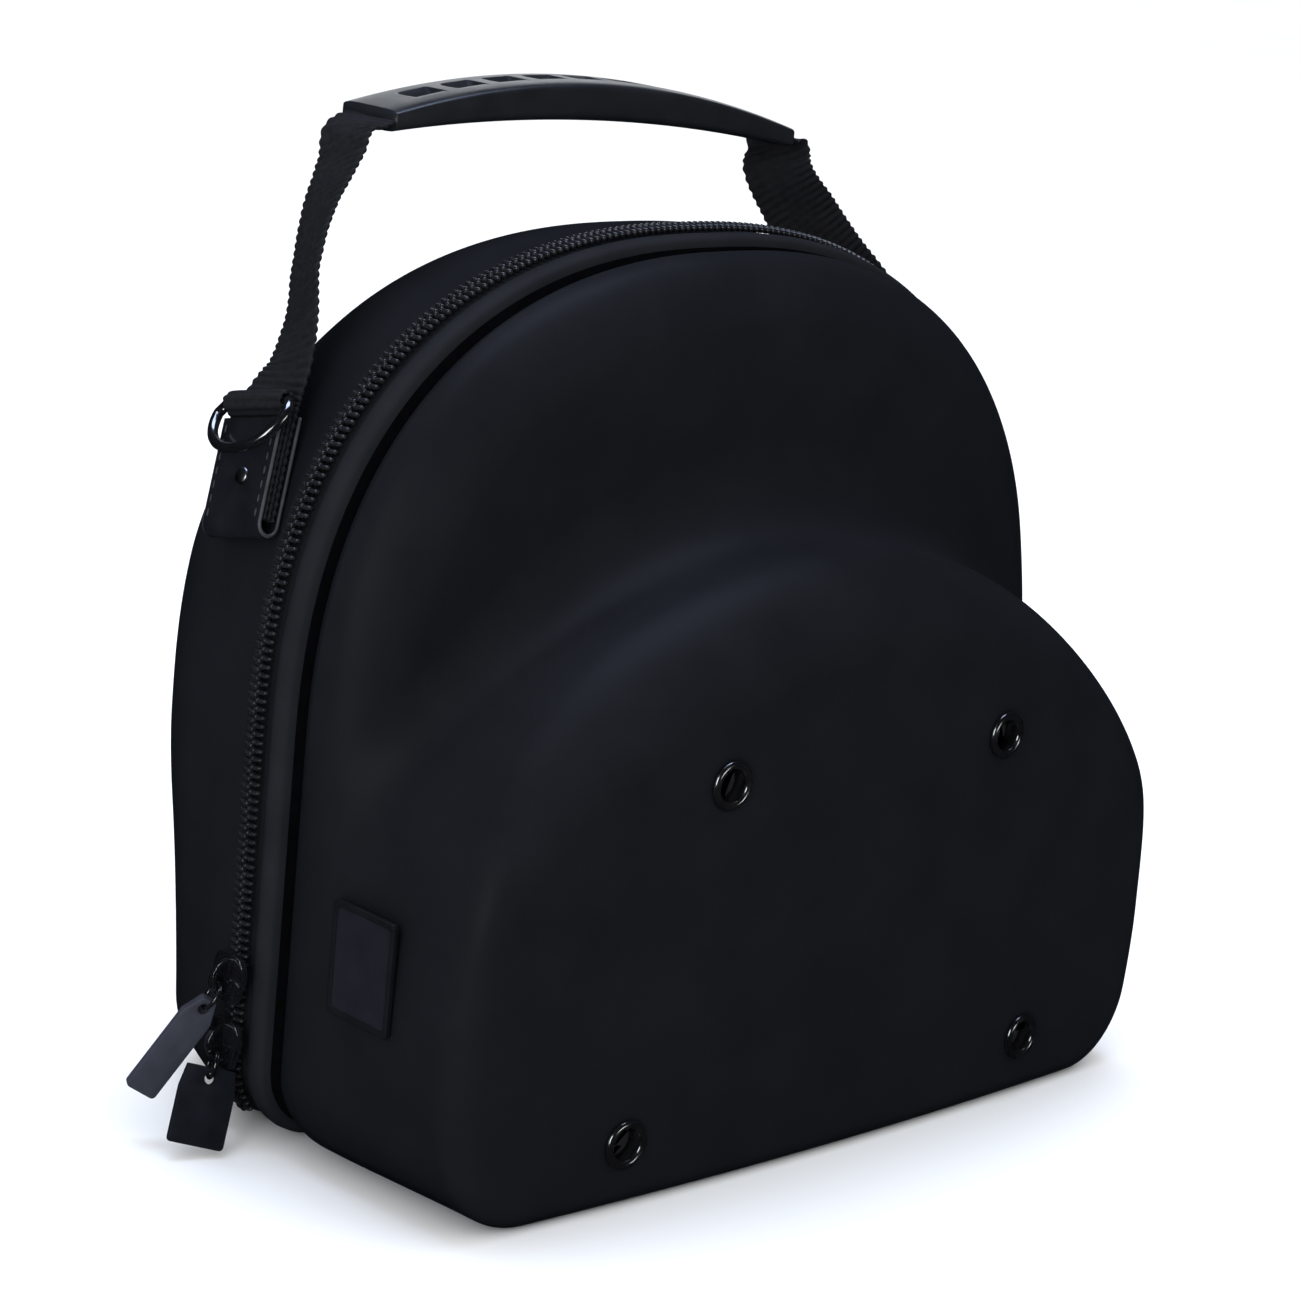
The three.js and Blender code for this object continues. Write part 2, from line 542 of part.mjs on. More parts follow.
[['left', -1], ['right', 1]].forEach(([label, side]) => {
  const frame = anchorFrame(side);
  addPiece(`tab_${label}`, acrossAnchor(tabShape(), frame, WEBBING.width, 6), VINYL);
  addPiece(`loop_${label}`, acrossAnchor(loopShape(), frame, WEBBING.width, 8), WOVEN);
  addPiece(`d_ring_${label}`, dRing(frame), METAL);
  addPiece(`strap_${label}`, strap(frame, side), WOVEN);
});

// Grip: an arched moulding, thick in the middle, with a row of oval recesses along its top
function grip() {
  const steps = 18;
  const rows = Array.from({ length: steps + 1 }, (_, i) => {
    const x = GRIP.half * ((2 * i) / steps - 1);
    const thick = mix(GRIP.thickMid, GRIP.thickEnd, (x / GRIP.half) ** 2) / 2;
    const wide = GRIP.width / 2;
    const section = [[wide, -0.5], [wide, 0.5], [wide - 2, 1], [2 - wide, 1], [-wide, 0.5], [-wide, -0.5],
      [2 - wide, -1], [wide - 2, -1]];
    return section.map(([y, h]) => new THREE.Vector3(x, GRIP.y + y, gripLine(x) + h * thick));
  });
  const recess = new THREE.Shape();
  const round = GRIP_OVAL.width / 2;
  recess.absarc(GRIP_OVAL.half - round, 0, round, -Math.PI / 2, Math.PI / 2, false);
  recess.absarc(round - GRIP_OVAL.half, 0, round, Math.PI / 2, 1.5 * Math.PI, false);
  const cutters = Array.from({ length: GRIP_OVAL.count }, (_, i) => {
    const x = (i - (GRIP_OVAL.count - 1) / 2) * GRIP_OVAL.pitch;
    const thick = mix(GRIP.thickMid, GRIP.thickEnd, (x / GRIP.half) ** 2) / 2;
    const deep = Math.min(GRIP_OVAL.deep, 1.2 * thick);
    const cutter = new THREE.ExtrudeGeometry(recess, { depth: 20, bevelEnabled: false, curveSegments: 3 });
    return cutter.translate(x, GRIP.y, gripLine(x) + thick - deep);
  });
  return cutAll(cappedSkin(rows), cutters);
}
addPiece('grip', grip(), MOULDED);

// Patch: a plate with a raised border on the left wall of the front shell
function patch() {
  const { width, height, thick, border, rise, corner } = PATCH;
  const plateShape = (w, h) => {
    const s = new THREE.Shape();
    s.moveTo(-w / 2 + corner, -h / 2);
    s.lineTo(w / 2 - corner, -h / 2);
    s.absarc(w / 2 - corner, -h / 2 + corner, corner, -Math.PI / 2, 0, false);
    s.lineTo(w / 2, h / 2 - corner);
    s.absarc(w / 2 - corner, h / 2 - corner, corner, 0, Math.PI / 2, false);
    s.lineTo(-w / 2 + corner, h / 2);
    s.absarc(-w / 2 + corner, h / 2 - corner, corner, Math.PI / 2, Math.PI, false);
    s.lineTo(-w / 2, -h / 2 + corner);
    s.absarc(-w / 2 + corner, -h / 2 + corner, corner, Math.PI, 1.5 * Math.PI, false);
    return s;
  };
  const plain = { bevelEnabled: false, curveSegments: 3 };
  const extrude = (s, depth) => new THREE.ExtrudeGeometry(s, { depth, ...plain });
  const plate = extrude(plateShape(width, height), thick + rise);
  const well = extrude(plateShape(width - 2 * border, height - 2 * border), 2 * rise).translate(0, 0, thick);
  const solid = cutAll(plate, [well]);
  solid.applyMatrix4(new THREE.Matrix4().makeBasis(
    new THREE.Vector3(0, -1, 0), new THREE.Vector3(0, 0, 1), new THREE.Vector3(-1, 0, 0)));
  return solid.translate(FRONT.inset - HALF_WIDTH - GAP, PATCH.y, PATCH.z);
}
addPiece('patch', patch(), MOULDED);

export default carrier;
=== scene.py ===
"""Looks of the cap carrier: fine moulded shells, zip, webbing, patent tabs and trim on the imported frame."""
import json
import math
import bmesh
import bpy
import numpy as np
from mathutils import Matrix

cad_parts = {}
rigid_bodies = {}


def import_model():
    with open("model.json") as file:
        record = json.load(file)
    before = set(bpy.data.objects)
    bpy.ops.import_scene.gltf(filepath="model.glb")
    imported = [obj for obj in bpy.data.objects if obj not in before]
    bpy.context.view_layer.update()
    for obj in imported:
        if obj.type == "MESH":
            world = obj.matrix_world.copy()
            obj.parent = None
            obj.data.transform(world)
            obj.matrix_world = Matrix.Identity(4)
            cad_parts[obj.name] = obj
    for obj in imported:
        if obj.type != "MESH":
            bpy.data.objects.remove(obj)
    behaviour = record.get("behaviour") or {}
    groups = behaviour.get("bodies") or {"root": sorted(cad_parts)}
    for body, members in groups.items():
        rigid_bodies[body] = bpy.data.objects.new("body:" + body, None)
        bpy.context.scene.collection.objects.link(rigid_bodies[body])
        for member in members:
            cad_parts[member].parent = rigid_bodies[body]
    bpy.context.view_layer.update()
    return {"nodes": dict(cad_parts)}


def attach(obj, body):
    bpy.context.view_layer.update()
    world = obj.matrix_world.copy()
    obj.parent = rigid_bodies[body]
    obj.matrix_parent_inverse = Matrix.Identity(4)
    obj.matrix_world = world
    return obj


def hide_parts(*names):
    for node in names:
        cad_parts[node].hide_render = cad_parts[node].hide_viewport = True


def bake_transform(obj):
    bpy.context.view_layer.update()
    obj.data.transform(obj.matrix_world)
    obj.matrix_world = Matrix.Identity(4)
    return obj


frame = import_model()

# Dimensions in millimetres, with y measured from the zip plane, as in the CAD
MM = 0.001
ZIP_Y = -30.0
HALF_WIDTH, HEIGHT, ARCH_CENTRE, ARCH_POWER, CORNER = 154.0, 269.0, 124.0, 2.38, 26.0
WALL, RAY_Z = 4.0, 95.0
FRONT_RIM = dict(edge=14.8, round=1.8, roll=3.4, length=13.0)
REAR_RIM = dict(edge=6.0, round=3.0, roll=0.0, length=1.0)
FRONT = dict(edge=19.0, inset=3.0, brim=42.0, drop=6.0, dome=70.0, depth=101.4, crown=6.0, round=11.0,
             base_round=7.0, base_rise=80.0, top_round=14.0, pinch=5.0, pinch_rise=52.0, lean=10.0,
             lean_from=90.0, lean_rise=80.0, lean_depth=22.0)
BULGE = dict(half=156.0, rise=131.0, centre=50.0, power=2.0, straight=0.9, round=28.0, side_round=11.0,
             round_from=90.0, round_rise=80.0, draft=0.10, fillet=26.0, side_fillet=12.0)
REAR = dict(edge=6.0, inset=2.5, depth=69.0, round=38.0, base_round=24.0, base_rise=90.0, top_round=10.0,
            top_from=165.0, top_rise=70.0, pinch=18.0, pinch_rise=120.0)

# Zip: each tape's section as (y, depth under the outline), half sizes of a turn along, across and out
FRONT_TAPE = ((-0.3, 2.2), (-2.6, 2.2), (-5.0, 2.1), (-5.5, 1.5), (-6.2, 1.1), (-8.4, 0.8), (-10.6, 1.0),
              (-11.9, 1.6), (-12.6, 2.6), (-13.0, 4.4), (-13.6, 6.6), (-14.7, 8.4), (-14.7, 10.2),
              (-10.0, 7.0), (-6.0, 5.2), (-0.3, 3.4))
# Sides of the front tape's section down in the groove, which get painted shade
FRONT_SHADED_SIDES = (9, 10)
BACK_TAPE = ((0.3, 2.2), (3.0, 2.2), (4.9, 2.1), (5.5, 1.9), (5.9, 2.4), (5.9, 4.6), (3.0, 4.4), (0.3, 3.4))
COIL = dict(pitch=2.5, bar=(0.78, 2.15, 1.2), bar_y=2.1, bar_sunk=0.15, hook=(0.92, 0.85, 1.4), hook_y=0.6,
            hook_sunk=0.05, lean=0.16, foot=9.0)

# Handle, tabs, loops and D-rings; the route of a strap is (out, back, up, share of being drawn in)
WEBBING = dict(width=25.0, thick=1.6, pitch=2.6)
LOOP_RIBS = dict(pitch=WEBBING["pitch"], rib=0.95, scallop=0.03)
STRAP_RIBS = dict(pitch=WEBBING["pitch"], rib=0.85, scallop=0.035, slant=0.12)
RIB_MEAN = 0.6
STRAP_DRAWN, STRAP_TWIST = 11.0, 1.85
STRAP_IN_TAB = ((20, 0.0), (34, 0.0), (41, -0.35))
STRAP_ROUTE = ((127.9, 29, 227, 0.0), (122.8, 32.3, 237.5, 0.4), (116.6, 39, 251.8, 1.0),
               (107.5, 45.8, 266.9, 1.0), (96.8, 50.8, 281.3, 0.7), (91.8, 53.5, 288.9, 0.2))
STRAP_LEAN = (0, 0, 0, 0, 14, 20, 24, 25, 22, 17, 8, 0)
SWAY_FROM, SWAY_RISE = 220, 70
GRIP = dict(half=85.0, width=26.0, y=53.5, end=292.4, crest=301.0, thick_end=6.6, thick_mid=12.5,
            tilt=0.032, in_end=2.0, side_power=0.45, top_power=0.30)
OVAL = dict(count=9, pitch=16.4, half=5.6, width=6.4, deep=3.0, share=0.55, edge=1.1, lift=0.35)
ANCHOR = dict(y=19.0, height=176.8, lean=21.0, turn=13.0, off=0.9, tab_top=35.0, fold=4.2, leaf=1.5,
              gap=0.3, inner_top=2.0, slack=0.6)
LOOP = dict(eye=40.0, eye_out=7.4, hole=2.0, skin=1.4, inner=4.0, outer=7.0, foot=5.0, wrap=0.25, tuck=0.8)
RING = dict(half=14.9, bar=13.0, drop=17.0, wire=1.6, tilt=22.0, shoulder=1.6, bend=0.03, bow=0.85)
STITCH = dict(first=6.5, pitch=4.2, last=1.0, off=10.3, length=2.4, radius=0.3)
RIVET = dict(radius=2.6, tip=0.02, sunk=0.05, rise=0.9, across=-1.0, up=17.5)

# Eyelets, moulded trim and the cloth hinge
EYELETS = dict(eyelet_top_left=(-59.8, 125.8), eyelet_top_right=(59.8, 125.8),
               eyelet_base_left=(-87.2, 20.8), eyelet_base_right=(87.2, 20.8))
EYELET = dict(middle=6.25, half=1.35, seat=0.35, rise=1.45, power=0.8, tube=5.6, under=0.3, hole=4.9,
              washer=6.9, inside=0.9, thick=0.8)
BEVEL = dict(slider=0.4, pull_ring=0.2, pull_tab=0.5, patch=0.3)
TRIM = dict(weld=2e-6, flat=2.0, sharp=28.0, segments=3, left=-0.5)
HINGE = dict(half=108.0, front=-16.0, back=5.0, height=1.3, fold=0.002)

# How finely things are drawn, and how far the searches for a surface go
SHELL = dict(sink=8.0, turns=340, rows=130, inner_rows=44, trial_turns=1441, trial_rows=260, gather=2.2,
             rim_bend=25.0, wall_bend=14.0, start=1e-4, hole=7.0, hole_before=-60.0, weld=1e-6)
BAND = dict(trial=1801, steps=360, bend=20.0)
BEAD = dict(rings=7, around=8, end_power=0.75, side_power=0.8)
ROD = dict(rings=6, around=7, end_power=1.0, side_power=0.6)
STRIP = dict(around=44, side_power=0.28, top_power=0.55, cut=0.86)
BEAD_STEP = 0.002
RIM_FAR, WALL_FAR, HALVINGS, TINY = 400.0, 500.0, 44, 1e-9

# Finishes: soft noise, and the shares of grain and threads in a weave's bump and colour
NOISE_DETAIL, DRIFT_LOW, DRIFT_HIGH = 4.0, 0.3, 0.7
WEAVE = dict(grain=0.4, bump=0.3, patches=0.6, tint=0.2)

# Stage: floor, sky, lamps as (name, place, aim, size, watts, colour) in metres, and the photo's camera
FLOOR_HALF = 24.0
SKY = dict(low=0.45, low_colour=(0.99, 0.995, 1.0, 1), high=1.3, high_colour=(0.97, 0.985, 1.0, 1),
           rise=(0.05, 0.55))
LAMPS = (
    ("top", (0.10, 0.20, 1.75), (0, -0.05, 0.2), (1.3, 0.8), 20, (0.60, 0.72, 1.0)),
    ("key", (-1.6, -0.75, 0.6), (0, -0.05, 0.12), (0.6, 0.9), 10, (0.92, 0.96, 1.0)),
    ("back_card", (1.1, 1.15, 0.75), (0, 0.02, 0.30), (1.1, 0.6), 3, (0.92, 0.96, 1.0)),
    ("front_card", (0.4, -1.6, 0.25), (0, -0.1, 0.12), (0.5, 0.3), 2, (1.0, 0.99, 0.98)),
)
CAMERA = dict(azimuth=-44.747, elevation=14.447, roll=5.687, lens=96.94, sensor=36.0, near=0.05,
              distance=1110.3, target=(1.8, 0.0, 133.6))


# Shapes of the case, shared with the CAD
def ease(t):
    t = np.clip(t, 0, 1)
    return t * t * (3 - 2 * t)


def arch(x, z, half, rise, centre, power, corner):
    """Signed distance to an arch: a superellipse above its centre, straight sides, round corners below."""
    up = np.maximum(z - centre, 0)
    length = np.hypot(x, up)
    reach = ((np.abs(x) / half) ** power + (up / rise) ** power) ** (1 / power) + TINY
    over = np.where(length < 1, -half, length - length / reach)
    side, base = np.abs(x) - (half - corner), corner - z
    box = np.hypot(np.maximum(side, 0), np.maximum(base, 0)) + np.minimum(np.maximum(side, base), 0)
    return np.where(z > centre, over, box - corner)


def rim_arch(x, z, inset):
    return arch(x, z, HALF_WIDTH - inset, HEIGHT - inset - ARCH_CENTRE, ARCH_CENTRE, ARCH_POWER, CORNER)


def round_edge(a, b, r):
    return np.minimum(-r, np.maximum(a, b)) + np.hypot(np.maximum(a + r, 0), np.maximum(b + r, 0))


def round_fillet(a, b, r):
    return np.maximum(r, np.minimum(a, b)) - np.hypot(np.maximum(r - a, 0), np.maximum(r - b, 0))


def pinch(half, deep, z):
    """How far a wall is drawn in sideways: it grows towards the base and away from the rim."""
    away = ease((deep - half["edge"]) / (half["depth"] - half["edge"]))
    return half["pinch"] * ease(1 - z / half["pinch_rise"]) * away


def face_y(x):
    """The front face, crowned across."""
    return FRONT["crown"] * (x / HALF_WIDTH) ** 2 - FRONT["depth"]


def front_form(x, y, z):
    """The front half: a slightly domed tier that a bulge with a crowned face stands out of."""
    out = -y
    edge = FRONT["base_round"] + (FRONT["round"] - FRONT["base_round"]) * ease(z / FRONT["base_rise"])
    edge = edge + (FRONT["top_round"] - edge) * ease((z - RAY_Z) / (HEIGHT - ARCH_CENTRE))
    fillet = BULGE["fillet"] + (BULGE["side_fillet"] - BULGE["fillet"]) * ease(np.abs(x) / HALF_WIDTH)
    low = np.maximum(z, BULGE["straight"] * BULGE["centre"])
    hood = arch(x, low, BULGE["half"], BULGE["rise"], BULGE["centre"], BULGE["power"], CORNER)
    wide = ease((z - BULGE["round_from"]) / BULGE["round_rise"])
    crest = BULGE["side_round"] + (BULGE["round"] - BULGE["side_round"]) * wide
    bulge = round_edge(out + face_y(x), hood + BULGE["draft"] * (out - FRONT["depth"]), crest)
    near_rim = np.clip(1 + rim_arch(x, z, FRONT["inset"]) / FRONT["dome"], 0, 1)
    tier = out - FRONT["brim"] + FRONT["drop"] * near_rim ** 2
    lean = FRONT["lean"] * ease((z - FRONT["lean_from"]) / FRONT["lean_rise"])
    lean = lean * np.clip((out - FRONT["edge"]) / FRONT["lean_depth"], 0, 1)
    wall = rim_arch(np.abs(x) + pinch(FRONT, out, z), z, FRONT["inset"] + lean)
    return round_edge(round_fillet(tier, bulge, fillet), wall, edge)


def rear_form(x, y, z):
    """The rear half: one rounded tub."""
    edge = REAR["base_round"] + (REAR["round"] - REAR["base_round"]) * ease(z / REAR["base_rise"])
    edge = edge + REAR["top_round"] * ease((z - REAR["top_from"]) / REAR["top_rise"])
    return round_edge(y - REAR["depth"], rim_arch(np.abs(x) + pinch(REAR, y, z), z, REAR["inset"]), edge)


def solve(inside, far, shape):
    """Distance at which inside(distance) stops being true, by halving."""
    near, far = np.zeros(shape), np.full(shape, far)
    for _ in range(HALVINGS):
        half = 0.5 * (near + far)
        keep = inside(half)
        near, far = np.where(keep, half, near), np.where(keep, far, half)
    return near


def path_length(points):
    """Length along a line of points, from its start to each of them."""
    return np.concatenate([[0], np.cumsum(np.linalg.norm(np.diff(points, axis=0), axis=1))])


def spread(points, count, weight, closed=False):
    """Positions along a line of points (as indices), even by length and closer where the line bends."""
    steps = np.diff(points, axis=0)
    length = np.linalg.norm(steps, axis=1)
    way = steps / np.maximum(length, TINY)[:, None]
    bend = np.arccos(np.clip((way[1:] * way[:-1]).sum(1), -1, 1))
    reach = np.concatenate([[0], np.cumsum(length + weight * np.concatenate([[0], bend]))])
    wanted = np.linspace(0, reach[-1], count, endpoint=not closed)
    return np.interp(wanted, reach, np.arange(len(points)))


def unit(v):
    v = np.asarray(v, float)
    return v / np.maximum(np.linalg.norm(v, axis=-1, keepdims=True), TINY)


def circle(count):
    """Angles once round, evenly."""
    return np.arange(count) * 2 * math.pi / count


def signed_power(value, power):
    return np.sign(value) * np.abs(value) ** power


def spline(knots, count, trial=900):
    """A smooth curve through the knots: cubic pieces sloped by the neighbours, with even steps."""
    k = np.asarray(knots, float)
    gaps = np.linalg.norm(np.diff(k, axis=0), axis=1)
    t = np.concatenate([[0], np.cumsum(gaps)])
    slopes = np.gradient(k, t, axis=0)
    fine = np.linspace(0, t[-1], trial)
    i = np.clip(np.searchsorted(t, fine, side="right") - 1, 0, len(gaps) - 1)
    h = gaps[i][:, None]
    s = ((fine - t[i]) / gaps[i])[:, None]
    line = ((1 + 2 * s) * (1 - s) ** 2 * k[i] + s * (1 - s) ** 2 * h * slopes[i]
            + s * s * (3 - 2 * s) * k[i + 1] + s * s * (s - 1) * h * slopes[i + 1])
    reach = path_length(line)
    even = np.linspace(0, reach[-1], count)
    return np.stack([np.interp(even, reach, line[:, c]) for c in range(3)], -1), even


# Mesh helpers: arrays of points become pieces in the frame, in metres
def to_frame(points):
    return (np.asarray(points, float) + (0, ZIP_Y, 0)) * MM


def add_piece(name, points, faces, material, body, uv=None, replaces=()):
    """Makes a mesh object from points in millimetres and their faces, and ties it to its CAD body."""
    mesh = bpy.data.meshes.new(name)
    mesh.from_pydata(to_frame(points).tolist(), [], [list(f) for f in faces])
    mesh.polygons.foreach_set("use_smooth", np.ones(len(mesh.polygons), bool))
    for m in material if isinstance(material, (list, tuple)) else [material]:
        mesh.materials.append(m)
    if uv is not None:
        layer = mesh.uv_layers.new(name="along")
        corner = np.zeros(len(mesh.loops), np.int32)
        mesh.loops.foreach_get("vertex_index", corner)
        layer.data.foreach_set("uv", np.asarray(uv, np.float32)[corner].ravel())
    mesh.update()
    piece = bpy.data.objects.new(name, mesh)
    bpy.context.scene.collection.objects.link(piece)
    if body:
        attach(piece, body)
    if replaces:
        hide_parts(*replaces)
    return piece


def second_finish(piece, chosen):
    """Gives the chosen faces the second of a piece's two finishes."""
    piece.data.polygons.foreach_set("material_index", np.asarray(chosen).astype(np.int32))


def grid_faces(rows, cols, wrap_rows=False, wrap_cols=False):
    """Quads of a grid of points, rows by cols, joined round where wrapped."""
    i = np.arange(rows if wrap_rows else rows - 1)
    j = np.arange(cols if wrap_cols else cols - 1)
    a, b = np.meshgrid(i, j, indexing="ij")
    c, d = (a + 1) % rows, (b + 1) % cols
    return np.stack([a * cols + b, a * cols + d, c * cols + d, c * cols + b], -1).reshape(-1, 4)


def outward(points, faces):
    """The same quads, turned so that a closed skin has a positive volume."""
    p = np.asarray(points, float)
    p = p - p.mean(0)
    volume = np.einsum("ij,ij->", p[faces[:, 0]], np.cross(p[faces[:, 1]], p[faces[:, 2]]))
    volume += np.einsum("ij,ij->", p[faces[:, 0]], np.cross(p[faces[:, 2]], p[faces[:, 3]]))
    return faces[:, ::-1] if volume < 0 else faces


def tube_piece(name, rings, material, body, loop=False, uv=None, replaces=()):
    """A skin over rings of points: closed round as a loop, or with flat ends."""
    rings = np.asarray(rings, float)
    rows, cols = rings.shape[:2]
    points = rings.reshape(-1, 3)
    plain = grid_faces(rows, cols, wrap_rows=loop, wrap_cols=True)
    faces = outward(points, plain).tolist()
    if not loop:
        turned = faces[0] != plain[0].tolist()
        start, end = list(range(cols)), list(range((rows - 1) * cols, rows * cols))
        faces += [start if turned else start[::-1], end[::-1] if turned else end]
    flat = None if uv is None else np.asarray(uv, float).reshape(-1, 2)
    return add_piece(name, points, faces, material, body, flat, replaces)


def pill(form):
    """A ball of unit size as rings along its second axis, blunter where the powers are small."""
    polar = np.linspace(0, math.pi, form["rings"])[:, None]
    turn = circle(form["around"])[None]
    girth = np.sin(polar) ** form["side_power"]
    along = signed_power(np.cos(polar), form["end_power"])
    points = np.broadcast_arrays(girth * np.cos(turn), along, girth * np.sin(turn))
    return np.stack(points, -1).reshape(-1, 3)


def copies(name, shape, form, seats, axes, material, body, replaces=()):
    """One piece made of many like bodies: a pill's points carried to each seat along three axes."""
    points = seats[:, None] + sum(shape[:, i:i + 1] * np.asarray(axis) for i, axis in enumerate(axes))
    one = outward(points[0], grid_faces(form["rings"], form["around"], wrap_cols=True))
    faces = (one[None] + (np.arange(len(seats)) * len(shape))[:, None, None]).reshape(-1, 4)
    return add_piece(name, points.reshape(-1, 3), faces, material, body, replaces=replaces)


# Materials: one wrapper for shader values, and one builder for every finish
class Value:
    """A shader value: + and * make Math nodes, and via() passes it through any other node."""

    def __init__(self, tree, socket):
        self.tree, self.socket = tree, socket

    def via(self, kind, into, inputs, out=0, **settings):
        node = self.tree.nodes.new(kind)
        for key, value in settings.items():
            setattr(node, key, value)
        self.tree.links.new(self.socket, node.inputs[into])
        for name, value in inputs.items():
            if isinstance(value, Value):
                self.tree.links.new(value.socket, node.inputs[name])
            else:
                node.inputs[name].default_value = value
        return Value(self.tree, node.outputs[out])

    def __add__(self, other):
        return self.via("ShaderNodeMath", 0, {1: other}, operation="ADD")

    def __mul__(self, other):
        return self.via("ShaderNodeMath", 0, {1: other}, operation="MULTIPLY")

    def sine(self):
        return self.via("ShaderNodeMath", 0, {}, operation="SINE")

    def noise(self, scale):
        return self.via("ShaderNodeTexNoise", "Vector", {"Scale": scale, "Detail": NOISE_DETAIL})

    def ramp(self, low, high, to_low, to_high):
        return self.via("ShaderNodeMapRange", "Value",
                        {"From Min": low, "From Max": high, "To Min": to_low, "To Max": to_high})

    def blend(self, dark, light):
        return self.via("ShaderNodeMix", 0, {6: (*dark, 1), 7: (*light, 1)}, out=2, data_type="RGBA")

    def axis(self, index):
        return self.via("ShaderNodeSeparateXYZ", 0, {}, out=index)


def make_material(name, dark, light, patch_scale, rough, grain, height, weave=0.0, **constants):
    """A finish: two close colours mixed by soft noise, roughness that drifts with it, and a fine grain as
    bump. weave gives the thread spacing in metres of a woven pattern along the piece's own UV map."""
    material = bpy.data.materials.new(name)
    material.use_nodes = True
    tree = material.node_tree
    shader = next(n for n in tree.nodes if n.type == "BSDF_PRINCIPLED")
    place = tree.nodes.new("ShaderNodeTexCoord")
    here = Value(tree, place.outputs["Object"])
    drift = here.noise(patch_scale).ramp(DRIFT_LOW, DRIFT_HIGH, 0.0, 1.0)
    bumps = here.noise(grain)
    if weave:
        along, across = (Value(tree, place.outputs["UV"]).axis(i) for i in (0, 1))
        per_metre = 2 * math.pi / weave
        threads = (along * per_metre).sine() * (across * per_metre).sine()
        bumps = bumps * WEAVE["grain"] + threads * WEAVE["bump"] + WEAVE["bump"]
        drift = drift * WEAVE["patches"] + threads * WEAVE["tint"] + WEAVE["tint"]
    tree.links.new(drift.blend(dark, light).socket, shader.inputs["Base Color"])
    tree.links.new(drift.ramp(0, 1, *rough).socket, shader.inputs["Roughness"])
    bump = bumps.via("ShaderNodeBump", "Height", {"Strength": 1.0, "Distance": height})
    tree.links.new(bump.socket, shader.inputs["Normal"])
    for key, value in constants.items():
        shader.inputs[key.replace("_", " ")].default_value = value
    return material


# Each finish: dark and light colour, scale of the patches, roughness, scale and height of the grain
CLOTH = make_material("moulded_cloth", (0.0064, 0.0068, 0.0086), (0.0078, 0.0083, 0.0104), 40, (0.42, 0.48),
                      1500, 0.00005, Specular_IOR_Level=0.042)
TAPE = make_material("gusset_tape", (0.0092, 0.0098, 0.0120), (0.0133, 0.0140, 0.0167), 60, (0.62, 0.75),
                     2500, 0.00006, weave=0.0011, Specular_IOR_Level=0.05)
# Painted shade: a near-black finish for the walls of the groove between the front tape and the shell,
# standing in for the groove's shadow
GROOVE_SHADE = make_material("painted_groove_shade", (0.0016, 0.0016, 0.0020), (0.0024, 0.0024, 0.0030), 200, (0.85, 0.95),
                     2500, 0.00006, Specular_IOR_Level=0.0)
NYLON = make_material("coil_nylon", (0.0085, 0.0085, 0.0100), (0.0135, 0.0135, 0.0160), 300, (0.22, 0.30),
                      900, 0.00002, Specular_IOR_Level=0.5)
METAL = make_material("black_enamel", (0.004, 0.004, 0.005), (0.006, 0.006, 0.007), 200, (0.12, 0.20),
                      700, 0.00001, IOR=2.7)
STUD = make_material("polished_stud", (0.36, 0.36, 0.38), (0.46, 0.46, 0.48), 400, (0.26, 0.34),
                     700, 0.00001, Metallic=1.0)
WOVEN = make_material("webbing", (0.0070, 0.0070, 0.0084), (0.0145, 0.0145, 0.0170), 500, (0.55, 0.70),
                      2200, 0.00008, weave=0.0013, Specular_IOR_Level=0.1)
RUBBER = make_material("moulded_rubber", (0.0068, 0.0074, 0.0095), (0.0095, 0.0103, 0.0129), 90,
                       (0.28, 0.36), 1200, 0.00003, Specular_IOR_Level=0.4)
PATCH = make_material("patch_rubber", (0.0048, 0.0050, 0.0062), (0.0066, 0.0069, 0.0084), 160, (0.40, 0.50),
                      1200, 0.00003, Specular_IOR_Level=0.1)
PATCH_GROUND = make_material("patch_ground", (0.0084, 0.0089, 0.0127), (0.0105, 0.0111, 0.0157), 160,
                             (0.40, 0.50), 1200, 0.00003, Specular_IOR_Level=0.1)
PULLS = make_material("pull_rubber", (0.026, 0.028, 0.038), (0.036, 0.039, 0.052), 140, (0.36, 0.46),
                      1200, 0.00003, Specular_IOR_Level=0.2)
DARK_PULL = make_material("dark_pull_rubber", (0.0050, 0.0060, 0.0085), (0.0075, 0.0090, 0.0130), 140,
                          (0.34, 0.44), 1200, 0.00003, Specular_IOR_Level=0.12)
VINYL = make_material("patent_vinyl", (0.0052, 0.0052, 0.0070), (0.0084, 0.0084, 0.0112), 120, (0.12, 0.20),
                      260, 0.00012, Specular_IOR_Level=0.3)
# Lighter finish for the tabs' cut edges: partly the edges' own colour, partly a painted highlight along them
EDGE_PAINT_AND_HIGHLIGHT = make_material("edge_paint_and_highlight", (0.034, 0.034, 0.038), (0.050, 0.050, 0.055), 300, (0.30, 0.40),
                           900, 0.00003, Specular_IOR_Level=0.4)
THREAD = make_material("thread", (0.020, 0.020, 0.024), (0.040, 0.040, 0.046), 900, (0.5, 0.6),
                       3000, 0.00005)
LINING = make_material("lining", (0.020, 0.020, 0.022), (0.030, 0.030, 0.033), 300, (0.80, 0.90),
                       1800, 0.00010)
FLOOR_PAINT = make_material("floor_paint", (0.93, 0.93, 0.93), (0.95, 0.95, 0.95), 3, (0.7, 0.8),
                            40, 0.00002)


